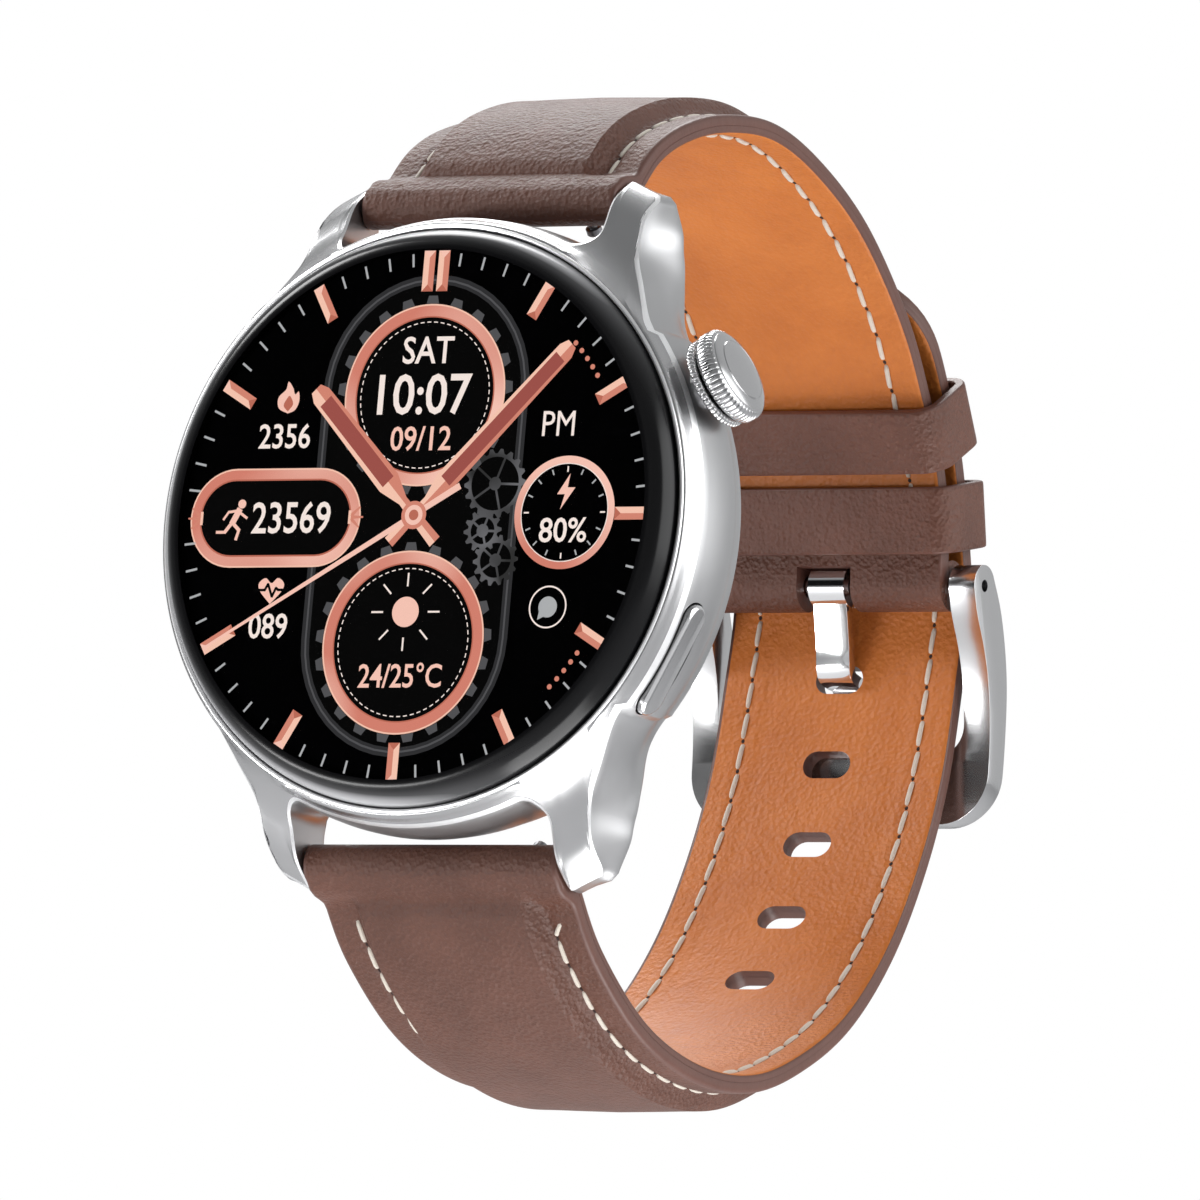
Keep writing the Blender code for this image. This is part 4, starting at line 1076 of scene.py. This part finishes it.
def seam_line(path, width_of, start, end, tip=False):
    """The seam's (x, s) points: up one side, round the tip if there is one, and down the other."""
    if not tip:
        stations = np.linspace(start, end, 60)
        return [[(sign * (width_of(s) - SEAM_INSET), s) for s in stations] for sign in (1, -1)]
    stations = np.concatenate([np.linspace(start, end - 12, 60), np.linspace(end - 11.5, end - 0.02, 60)])
    edge = np.array([(width_of(s), s) for s in stations] + [(-width_of(s), s) for s in stations[::-1]])
    normals = outline_normals(edge)
    inside = edge - normals * SEAM_INSET
    keep = inside[:, 1] < end - SEAM_INSET - 0.02
    right = [p for p in inside[keep] if p[0] > 0.4]
    left = [p for p in inside[keep] if p[0] < -0.4]
    return [np.array(right + left)]


def make_stitching(path, label, lines, slots):
    outer, lining = bmesh.new(), bmesh.new()
    for line in lines:
        stitch_row(outer, path, line, lambda s: EDGE_THICKNESS - SEAM_DIP + 0.03, 1)
        stitch_row(lining, path, line, lambda s: 0.05, -1)
    for shape, where in ((outer, "outer"), (lining, "lining")):
        obj = finish_mesh(shape, f"{label}_{where}_stitches", [THREAD, NEEDLE_HOLE_SHADE], 60)
        give(obj, "case", slots)


# ---------------------------------------------------------------- buckle and keepers

def make_buckle():
    side_outline = (
        arc((0, 0), 1.6, 40, 200, 17)
        + [tuple(p) for p in resample(catmull_rom([(-1.5, -0.55), (-0.75, -2.3), (0.75, -4.7), (1.9, -7.3),
                                                   (2.65, -10.6), (3.0, -14.0), (3.05, -18.5)]), 26)[1:]]
        + [tuple(p) for p in resample(catmull_rom([(4.9, -18.5), (5.25, -14.5), (5.2, -11.1), (4.85, -7.4),
                                                   (4.1, -4.4), (2.85, -1.4), (1.23, 1.03)]), 26)[:-1]]
    )
    frame_piece = plate("buckle", [side_outline], 15, [BRUSHED, POLISHED])
    from_side(frame_piece, BUCKLE_Y, BUCKLE_Z)
    outer, inner, bottom, sill = 13.0, 10.75, -17.9, -12.6
    front_outline = (
        [(outer, 3), (inner, 3)]
        + arc((inner - 2.4, sill + 2.4), 2.4, 0, -90, 12)
        + arc((-inner + 2.4, sill + 2.4), 2.4, -90, -180, 12)
        + [(-inner, 3), (-outer, 3)]
        + arc((-outer + 4, bottom + 4), 4, 180, 270, 16)
        + arc((outer - 4, bottom + 4), 4, 270, 360, 16)
    )
    front = plate("buckle_front", [front_outline], 8, [BRUSHED])
    turn = Matrix.Rotation(QUARTER, 4, "X")
    move(front, Matrix.Translation((0, (BUCKLE_Y + 2) * MM, BUCKLE_Z * MM)) @ turn)
    combine(frame_piece, front, "INTERSECT")
    combine(frame_piece, block("notch", (3.6, 3.0, 3.2), (0, BUCKLE_Y + 5.85, BUCKLE_Z - 13.9), [BRUSHED]),
            "DIFFERENCE")
    bevel(frame_piece, 0.22, 3, 32, 1)
    # The bores take dark steel: painted shade inside the holes.
    seat = cylinder("seat", BAR_BORE_RADIUS, -12.4, 12.4, BUCKLE_Y, BUCKLE_Z, [DARK_STEEL_AND_HOLE_SHADE])
    combine(frame_piece, seat, "DIFFERENCE")
    end_hole = cylinder("end_hole", 0.47, -15, 15, BUCKLE_Y, BUCKLE_Z, [DARK_STEEL_AND_HOLE_SHADE], 32)
    combine(frame_piece, end_hole, "DIFFERENCE")
    shade(frame_piece, 30)
    give(frame_piece, "buckle", "polished_steel", "buckle_frame")


def make_tongue():
    middle = resample(catmull_rom([(-0.3, -1.1), (0.75, -4.6), (1.25, -6.55), (2.5, -7.0), (3.85, -7.3),
                                   (4.55, -9.5), (5.05, -14.6)]), 40)
    ahead = np.gradient(middle, axis=0)
    ahead /= np.linalg.norm(ahead, axis=1)[:, None]
    normal = np.column_stack([-ahead[:, 1], ahead[:, 0]]) * 0.45
    outline = [tuple(p) for p in middle + normal] + [tuple(p) for p in (middle - normal)[::-1]]
    blade = plate("tongue", [outline], 1.45, [POLISHED])
    from_side(blade, BUCKLE_Y, BUCKLE_Z)
    bevel(blade, 0.13, 3, 50)
    combine(blade, cylinder("tongue_barrel", 1.6, -1.55, 1.55, BUCKLE_Y, BUCKLE_Z, [POLISHED], 56), "UNION")
    # The bore takes dark steel: painted shade inside the hole.
    combine(blade, cylinder("tongue_bore", 0.8, -3, 3, BUCKLE_Y, BUCKLE_Z, [DARK_STEEL_AND_HOLE_SHADE], 40), "DIFFERENCE")
    shade(blade, 30)
    give(blade, "tongue", "polished_steel", "buckle_tongue")


def rounded_rectangle(x_half, low, high, low_radius, high_radius):
    return (arc((x_half - low_radius, low + low_radius), low_radius, -90, 0, 12)
            + arc((x_half - high_radius, high - high_radius), high_radius, 0, 90, 12)
            + arc((-x_half + high_radius, high - high_radius), high_radius, 90, 180, 12)
            + arc((-x_half + low_radius, low + low_radius), low_radius, 180, 270, 12))


def tail_reach(lower, origin, normal, tangent):
    reach = 0
    for s in np.arange(lower.length - 60, lower.length, 0.25):
        offset = lower.point(s) + lower.outward(s) * EDGE_THICKNESS - origin
        if abs(offset @ tangent) < KEEPER_WIDTH / 2 + 0.3:
            reach = max(reach, offset @ normal)
    return reach


def make_keeper(name, replaced, body, upper, lower, centre_z):
    half = upper.length / 2
    s = min(np.arange(half, upper.length, 0.1), key=lambda t: abs(upper.point(t)[1] - centre_z))
    origin, normal = upper.point(s), upper.outward(s)
    reach = tail_reach(lower, origin, normal, upper.tangent(s)) + KEEPER_CLEARANCE
    wall = KEEPER_THICKNESS
    sections = []
    rounds = ((-1, 0.5), (-1, 0.28), (-0.985, 0.12), (-0.95, 0.02), (-0.85, 0), (-0.5, 0), (0, 0), (0.5, 0),
              (0.85, 0), (0.95, 0.02), (0.985, 0.12), (1, 0.28), (1, 0.5))
    turn = Matrix.Rotation(math.atan2(normal[1], normal[0]), 4, "X")

    def section(share, grown):
        outline = rounded_rectangle(KEEPER_HALF_OPENING + grown, -KEEPER_INNER_CLEARANCE - grown,
                                    reach + grown, 1.2 + grown, 1.0 + grown)
        return [(x, y, share * KEEPER_WIDTH / 2) for x, y in outline]

    for share, inset in rounds:
        sections.append(section(share, wall * (1 - inset)))
    for share, inset in rounds[::-1]:
        sections.append(section(share, wall * inset * 0.35))
    painted = (0, 1, 2, 9, 10, 11, 12, 24, 25)
    keeper = loft(name, sections, [LEATHER, EDGE_PAINT], 40, around=True,
                  looks=lambda k, i: 1 if k in painted else 0)
    move(keeper, Matrix.Translation(Vector((0, *origin)) * MM) @ turn)
    give(keeper, body, "brown_leather", replaced)


# ---------------------------------------------------------------- dial

LAYER = 0.006
FIRST_LAYER = 0.012


def bearing(degrees):
    """Unit steps along and to the left of a direction, in degrees clockwise from 12 o'clock."""
    a = math.radians(90 - degrees)
    along = np.array((math.cos(a), math.sin(a)))
    return along, np.array((-along[1], along[0]))


class Dial:
    """Collects flat shapes on the display, layer over layer, and makes one piece per colour."""

    def __init__(self):
        self.shapes = {}
        self.level = 0

    def up(self, steps=1):
        self.level += steps

    def shape(self, look):
        if look.name not in self.shapes:
            self.shapes[look.name] = (bmesh.new(), look)
        return self.shapes[look.name][0]

    def height(self):
        return DIAL_HEIGHT + FIRST_LAYER + self.level * LAYER

    def polygon(self, look, outline):
        shape = self.shape(look)
        height = self.height()
        verts = [shape.verts.new(Vector((x, -height, z)) * MM) for x, z in outline]
        shape.faces.new(verts)

    def strip(self, look, left, right):
        """Quads between two lines with equal point counts."""
        shape = self.shape(look)
        height = self.height()
        rows = [[shape.verts.new(Vector((x, -height, z)) * MM) for x, z in line] for line in (left, right)]
        for i in range(len(left) - 1):
            shape.faces.new((rows[0][i], rows[0][i + 1], rows[1][i + 1], rows[1][i]))

    def ring(self, look, middle, inner, outer, count=96, start=0, end=360):
        self.strip(look, arc(middle, inner, start, end, count), arc(middle, outer, start, end, count))

    def disc(self, look, middle, radius, count=96):
        self.polygon(look, arc(middle, radius, 0, 360 * (1 - 1 / count), count))

    def bar(self, look, middle, radius_from, radius_to, width, degrees, end_width=None):
        """A straight bar that points away from the middle, at degrees clockwise from 12 o'clock."""
        along, side = bearing(degrees)
        near = np.array(middle) + along * radius_from
        far = np.array(middle) + along * radius_to
        w, e = width / 2, (width if end_width is None else end_width) / 2
        self.polygon(look, [near - side * w, near + side * w, far + side * e, far - side * e])

    def index(self, middle, radius_from, radius_to, width, degrees):
        """A faceted hour mark: a light and a mid long face and darker hipped ends."""
        along, left = bearing(degrees)
        side = left * width / 2
        near = np.array(middle) + along * radius_from
        far = np.array(middle) + along * radius_to
        ridge_near, ridge_far = near + along * width * 0.55, far - along * width * 0.55
        self.polygon(ROSE_LIGHT, [near + side, ridge_near, ridge_far, far + side])
        self.polygon(ROSE_MID, [near - side, far - side, ridge_far, ridge_near])
        self.polygon(ROSE_DARK, [near + side, near - side, ridge_near])
        self.polygon(DIGIT_ROSE, [far + side, ridge_far, far - side])

    def text(self, look, words, middle, height, width, bold=0.012):
        """Plain lettering, fitted to a height and width."""
        curve = bpy.data.curves.new("words", "FONT")
        curve.body = words
        curve.size = 1.0
        curve.offset = bold
        curve.resolution_u = 3
        source = bpy.data.objects.new("words", curve)
        bpy.context.scene.collection.objects.link(source)
        mesh = mesh_of(source)
        bpy.data.objects.remove(source)
        points = np.array([v.co[:2] for v in mesh.vertices])
        low, high = points.min(0), points.max(0)
        scale = np.array((width, height)) / (high - low)
        placed = (points - (low + high) / 2) * scale + np.array(middle)
        shape = self.shape(look)
        height = self.height()
        verts = [shape.verts.new(Vector((x, -height, z)) * MM) for x, z in placed]
        for face in mesh.polygons:
            shape.faces.new([verts[i] for i in face.vertices])

    def finish(self):
        for name, (shape, look) in self.shapes.items():
            bmesh.ops.recalc_face_normals(shape, faces=shape.faces)
            for face in shape.faces:
                if face.normal.y > 0:
                    face.normal_flip()
            extruded = bmesh.ops.extrude_face_region(shape, geom=shape.faces[:])
            lower = [v for v in extruded["geom"] if isinstance(v, bmesh.types.BMVert)]
            bmesh.ops.translate(shape, verts=lower, vec=(0, -LAYER * 0.6 * MM, 0))
            obj = finish_mesh(shape, "dial_" + name, [look], 20)
            give(obj, "case", "black_glass")


def sub_dial(dial, middle, ring_in, ring_out, dash_radius):
    teeth = 21
    for k in range(teeth):
        degrees = 85.6 - k * 360 / teeth
        dial.bar(TOOTH, middle, ring_out + 0.02, ring_out + 0.62, 1.05, degrees, 0.75)
    dial.up()
    dial.ring(ROSE_RING, middle, ring_in, ring_out)
    dial.disc(FIELD, middle, ring_in)
    dial.up()
    dial.ring(ROSE_LIGHT, middle, ring_out - 0.12, ring_out)
    dial.ring(ROSE_DARK, middle, ring_in, ring_in + 0.1)
    for k in range(60):
        dial.ring(DIGIT, middle, dash_radius - 0.04, dash_radius + 0.04, 3, k * 6, k * 6 + 3.4)


def gear(dial, look, middle, radius, teeth, depth, hub):
    outline = []
    for k in range(teeth * 4):
        r = radius if k % 4 in (0, 1) else radius - depth
        a = 2 * math.pi * k / (teeth * 4)
        outline.append((middle[0] + r * math.cos(a), middle[1] + r * math.sin(a)))
    dial.polygon(look, outline)
    dial.up()
    dial.disc(FIELD, middle, radius - depth - 0.25, 32)
    dial.up()
    dial.disc(look, middle, hub, 24)
    for k in range(5):
        dial.bar(look, middle, 0, radius - depth - 0.2, 0.18, k * 72 + 20)


def hand(dial, degrees, tip, tail, root, width):
    """A long faceted hand: light and dark halves, with a red-brown inlay."""
    along, left = bearing(degrees)
    side = left * width / 2

    def at(distance, share):
        return along * distance + side * share

    dial.polygon(ROSE_LIGHT, [at(-tail, 0), at(-tail, 0.55), at(1.5, 0.4), at(root, 1), at(tip - 0.7, 0.85),
                              at(tip, 0.5), at(tip, 0)])
    dial.polygon(ROSE_MID, [at(-tail, 0), at(tip, 0), at(tip, -0.5), at(tip - 0.7, -0.85), at(root, -1),
                            at(1.5, -0.4), at(-tail, -0.55)])
    dial.up()
    dial.polygon(INSERT, [at(root + 0.1, 0.6), at(tip - 1.3, 0.6), at(tip - 1.3, -0.6), at(root + 0.1, -0.6)])
    dial.up()


def make_hours(dial):
    for minute in range(60):
        if minute % 5:
            dial.bar(TICK, (0, 0), 18.63, 19.6, 0.17, minute * 6)
    for hour in (1, 2, 3, 4, 5, 6, 7, 8, 10, 11):
        dial.index((0, 0), 16.9, 19.8, 0.95, hour * 30)
    for x in (-0.62, 0.62):
        dial.index((x, 0), 16.7, 19.75, 0.95, 0)


def stadium(half_width, half_length, count=24):
    return (arc((0, half_length), half_width, 0, 180, count)
            + arc((0, -half_length), half_width, 180, 360, count))


def make_grooves(dial):
    rings = [(8.75, GROOVE), (8.45, TOOTH), (8.3, GROOVE), (8.05, FIELD)]
    for half_width, look in rings:
        dial.polygon(look, stadium(half_width, 9.2))
        dial.up()


def make_pill(dial):
    middle = np.array((-11.87, -0.1))

    def outline(grow):
        return [tuple(middle + p) for p in pill_outline(14.58 + grow * 2, 7.4 + grow * 2, 24)]

    for grow, look in ((0, ROSE_LIGHT), (-0.12, ROSE_RING), (-0.8, ROSE_DARK), (-0.92, FIELD)):
        dial.polygon(look, outline(grow))
        dial.up()
    dial.text(DIGIT, "23569", (-10.5, -0.1), 2.4, 6.7)
    for x, flip in ((-18.2, 1), (-5.5, -1)):
        for k in (-1, 0, 1):
            dial.bar(ROSE_MID, (x, -0.1), 0.1, 1.15, 0.3, 90 * -flip + k * 42, 0.12)
        dial.bar(ROSE_LIGHT, (x, -0.1), -0.5, 0.5, 0.22, 0)


def make_icons(dial):
    dial.disc(DIGIT_ROSE, (-14.8, 0.95), 0.34, 20)
    strokes = (((-15.0, 0.5), (-15.5, -0.45), 0.5), ((-15.5, -0.45), (-14.9, -1.0), 0.28),
               ((-14.9, -1.0), (-15.1, -1.7), 0.24), ((-15.5, -0.4), (-16.1, -1.15), 0.28),
               ((-16.1, -1.15), (-16.8, -1.15), 0.22), ((-15.0, 0.35), (-14.3, -0.1), 0.2),
               ((-15.1, 0.45), (-15.9, 0.35), 0.2), ((-15.9, 0.35), (-16.3, -0.2), 0.18))
    for start, end, width in strokes:
        dial.polygon(DIGIT_ROSE, stroke(start, end, width))
    flame = resample(catmull_rom([(-11.6, 7.7), (-12.4, 8.1), (-12.5, 8.9), (-11.9, 9.5), (-11.75, 10.1),
                                  (-11.3, 9.6), (-11.1, 9.1), (-10.8, 9.35), (-10.7, 8.6), (-11.0, 7.95),
                                  (-11.6, 7.7)]), 40)[:-1]
    dial.polygon(DIGIT_ROSE, flame)
    heart = resample(catmull_rom([(-11.67, -6.55), (-12.6, -5.6), (-12.75, -5.0), (-12.2, -4.6),
                                  (-11.67, -5.0), (-11.15, -4.6), (-10.6, -5.0), (-10.75, -5.6),
                                  (-11.67, -6.55)]), 40)[:-1]
    dial.polygon(DIGIT_ROSE, heart)
    dial.up()
    dial.polygon(ROSE_DARK, resample(catmull_rom([(-11.6, 7.85), (-12.0, 8.3), (-11.7, 8.9), (-11.5, 9.0),
                                                  (-11.2, 8.4), (-11.6, 7.85)]), 24)[:-1])
    pulse = ((-13.1, -5.5), (-12.2, -5.5), (-11.95, -5.05), (-11.55, -6.0), (-11.25, -5.35),
             (-11.05, -5.5), (-10.2, -5.5))
    for start, end in zip(pulse, pulse[1:]):
        dial.polygon(FIELD, stroke(start, end, 0.2))
    bubble = (12.0, -6.9)
    dial.ring(DIGIT, bubble, 1.46, 1.58)
    dial.disc(TICK, bubble, 0.78, 32)
    dial.polygon(TICK, [(11.3, -7.2), (11.75, -7.6), (11.2, -7.85)])
    for cluster in ((14.6, 12.4), (14.9, -12.5)):
        turn = math.atan2(cluster[1], cluster[0])
        for k in (-2, -1, 0, 1, 2):
            a = turn + k * 0.045
            radius = math.hypot(*cluster) - 1.4
            dial.disc(ROSE_MID, (radius * math.cos(a), radius * math.sin(a)), 0.2, 16)


def stroke(start, end, width):
    start, end = np.array(start), np.array(end)
    along = (end - start) / np.linalg.norm(end - start)
    side = np.array((-along[1], along[0])) * width / 2
    start, end = start - along * width * 0.25, end + along * width * 0.25
    return [start - side, start + side, end + side, end - side]


def make_battery(dial):
    middle = (12.7, 0.1)
    dial.ring(ROSE_RING, middle, 3.65, 4.2)
    dial.ring(DIGIT, middle, 3.6, 3.68)
    for k in range(16):
        dial.bar(TICK if k % 4 else DIGIT, middle, 3.0, 3.42, 0.12, k * 22.5)
    dial.polygon(DIGIT_ROSE, [(12.95, 3.0), (11.95, 1.45), (12.6, 1.45), (12.3, 0.3), (13.45, 1.95),
                              (12.8, 1.95)])
    dial.text(DIGIT, "80%", (12.7, -1.2), 1.85, 4.0)


def make_dial():
    panel = revolve("panel", ((0, DIAL_HEIGHT), (20.04, DIAL_HEIGHT), (20.04, 10.1), (0, 10.1)), [PANEL], 128)
    give(to_dial(panel), "case", "black_glass", "display_panel")
    dial = Dial()
    make_grooves(dial)
    for middle, radius, teeth in (((6.6, 2.3), 2.6, 18), ((7.2, -3.4), 1.9, 14), ((5.9, -1.2), 1.6, 12)):
        gear(dial, GEAR, middle, radius, teeth, 0.35, 0.5)
    make_hours(dial)
    make_pill(dial)
    make_battery(dial)
    sub_dial(dial, (0, 8.95), 5.8, 6.8, 5.45)
    sub_dial(dial, (0, -9.47), 5.85, 6.83, 5.5)
    make_icons(dial)
    dial.up()
    dial.text(DIGIT, "SAT", (0, 12.3), 2.05, 4.3)
    dial.text(DIGIT, "10:07", (0, 9.0), 3.07, 7.9)
    dial.text(DIGIT_ROSE, "09/12", (0, 5.7), 1.84, 5.15)
    dial.text(DIGIT_ROSE, "24/25°C", (0, -11.9), 1.87, 7.07)
    dial.text(DIGIT, "2356", (-11.66, 6.0), 1.87, 4.4)
    dial.text(DIGIT, "089", (-11.66, -8.2), 1.9, 3.3)
    dial.text(DIGIT, "PM", (11.6, 6.7), 1.85, 2.7, 0.0)
    dial.disc(DIGIT_ROSE, (0, -7.2), 1.13, 40)
    for k in range(8):
        dial.bar(DIGIT, (0, -7.2), 1.9, 2.9, 0.14, k * 45)
    dial.up()
    hand(dial, -44.4, 13.3, 2.8, 3.4, 1.95)
    hand(dial, 44.0, 17.5, 2.8, 3.4, 1.75)
    dial.bar(DIGIT_ROSE, (0, 0), -4.3, 19.5, 0.5, 240, 0.2)
    dial.up()
    dial.disc(ROSE_MID, (0, 0), 1.05, 40)
    dial.up()
    dial.disc(DIGIT_ROSE, (0, 0), 0.75, 40)
    dial.up()
    dial.disc(ROSE_DARK, (0, 0), 0.4, 30)
    dial.finish()


# ---------------------------------------------------------------- carried-over nodes

def dress_frame_nodes():
    looks = {"satin_steel": SATIN, "polished_steel": POLISHED, "dark_steel": DARK_STEEL_AND_HOLE_SHADE, "clear_glass": CLEAR,
             "black_glass": BLACK_GLASS, "black_plastic": PLASTIC, "black_rubber": RUBBER,
             "circuit_board": BOARD, "gold_contact": GOLD, "brown_leather": LEATHER, "tan_leather": LINING}
    slots = {part["node"]: part["material_slot"] for part in frame["record"]["subparts"]}
    for name, obj in frame["nodes"].items():
        obj.data.materials.clear()
        obj.data.materials.append(looks[slots[name]])
        obj.data.shade_smooth()
        obj.data.set_sharp_from_angle(angle=math.radians(35))


# ---------------------------------------------------------------- studio

def add_light(name, place, target, size, power):
    data = bpy.data.lights.new(name, "AREA")
    data.shape = "RECTANGLE"
    data.size, data.size_y = size
    data.energy = power
    light = bpy.data.objects.new(name, data)
    bpy.context.scene.collection.objects.link(light)
    light.location = place
    light.rotation_euler = (Vector(target) - Vector(place)).to_track_quat("-Z", "Y").to_euler()
    return light


def make_studio():
    floor = revolve("floor", ((0, 0), (4000, 0), (4000, -10), (0, -10)),
                    [Look("floor_paint", (0.62, 0.62, 0.63), 0.7).material], 64)
    move(floor, Matrix.Translation((0, 0, -0.3)))
    world = bpy.data.worlds.new("studio")
    bpy.context.scene.world = world
    world.use_nodes = True
    nodes, links = world.node_tree.nodes, world.node_tree.links
    background = nodes["Background"]
    backdrop = nodes.new("ShaderNodeBackground")
    backdrop.inputs["Color"].default_value = (1, 1, 1, 1)
    direction = nodes.new("ShaderNodeTexCoord").outputs["Generated"]

    def toward(aim, wide, narrow, low, high):
        """A soft spot on the sky around a direction, from low outside it to high inside it."""
        dot = nodes.new("ShaderNodeVectorMath")
        dot.operation = "DOT_PRODUCT"
        dot.inputs[1].default_value = Vector(aim).normalized()
        links.new(direction, dot.inputs[0])
        spot = nodes.new("ShaderNodeMapRange")
        spot.interpolation_type = "SMOOTHSTEP"
        for socket, value in (("From Min", wide), ("From Max", narrow), ("To Min", low), ("To Max", high)):
            spot.inputs[socket].default_value = value
        links.new(dot.outputs["Value"], spot.inputs["Value"])
        return spot.outputs["Result"]

    def maths(operation, a, b):
        step = nodes.new("ShaderNodeMath")
        step.operation = operation
        links.new(a, step.inputs[0])
        links.new(b, step.inputs[1])
        return step.outputs["Value"]

    crown_side = toward((1, 0.2, 0.15), 0.8, 0.9, 0.3, 2.4)
    wrist_side = toward((0.1, 1, 0.2), -0.1, 0.8, 0.3, 0.6)
    sky = maths("MAXIMUM", crown_side, wrist_side)
    mirrored = toward(GLASS_MIRROR, 0.94, 0.98, 1.0, 0.02)
    links.new(maths("MULTIPLY", sky, mirrored), background.inputs["Strength"])
    background.inputs["Color"].default_value = (0.98, 0.99, 1.0, 1)
    mix = nodes.new("ShaderNodeMixShader")
    links.new(nodes.new("ShaderNodeLightPath").outputs["Is Camera Ray"], mix.inputs["Fac"])
    links.new(background.outputs["Background"], mix.inputs[1])
    links.new(backdrop.outputs["Background"], mix.inputs[2])
    links.new(mix.outputs["Shader"], nodes["World Output"].inputs["Surface"])
    middle = (0, 0.02, 0)
    add_light("key", (-1.0, -0.5, 0.75), middle, (0.4, 0.4), 9)
    add_light("right", (1.2, 0.05, 0.2), middle, (0.9, 1.2), 5)
    add_light("top", (-0.5, 0.5, 0.95), middle, (0.7, 0.5), 8)
    add_light("low", (-0.42, -0.52, -0.22), middle, (0.35, 0.1), 1.8)
    add_light("under", (0.1, 0.03, -0.27), middle, (0.25, 0.15), 0.7)


def make_camera():
    bpy.context.scene.view_settings.view_transform = "Standard"
    az, el, roll = VIEW_AZIMUTH, VIEW_ELEVATION, VIEW_ROLL
    back = Vector((math.sin(az) * math.cos(el), -math.cos(az) * math.cos(el), math.sin(el)))
    right = Vector((math.cos(az), math.sin(az), 0))
    up = back.cross(right)
    turned_right = right * math.cos(roll) + up * math.sin(roll)
    turned_up = up * math.cos(roll) - right * math.sin(roll)
    data = bpy.data.cameras.new("camera")
    data.lens = VIEW_LENS
    data.sensor_width = 36
    data.clip_start, data.clip_end = 0.05, 50
    camera = bpy.data.objects.new("camera", data)
    bpy.context.scene.collection.objects.link(camera)
    place = Matrix((turned_right, turned_up, back)).transposed().to_4x4()
    place.translation = (Vector((0, -DIAL_HEIGHT * MM, 0)) + back * VIEW_DISTANCE
                         + turned_right * VIEW_RIGHT + turned_up * VIEW_UP)
    camera.matrix_world = place
    bpy.context.scene.camera = camera


# ---------------------------------------------------------------- the watch

upper_path = Path(UPPER_PATH, 1)
lower_path = Path(LOWER_PATH, -1)
dress_frame_nodes()
make_case()
make_front()
make_back()
make_crown()
make_button()
make_upper_strap(upper_path)
make_lower_strap(lower_path)
make_stitching(upper_path, "upper", seam_line(upper_path, lambda s: upper_width(s, upper_path), 2.7,
                                              upper_path.length - 5.0), "brown_leather")
make_stitching(lower_path, "lower", seam_line(lower_path, lambda s: lower_width(s, lower_path), 2.7,
                                              lower_path.length, True), "brown_leather")
make_buckle()
make_tongue()
make_keeper("strap_loop", "fixed_keeper", "case", upper_path, lower_path, FIXED_KEEPER_Z)
make_keeper("sliding_loop", "free_keeper", "keeper", upper_path, lower_path, FREE_KEEPER_Z)
make_dial()
make_studio()
make_camera()
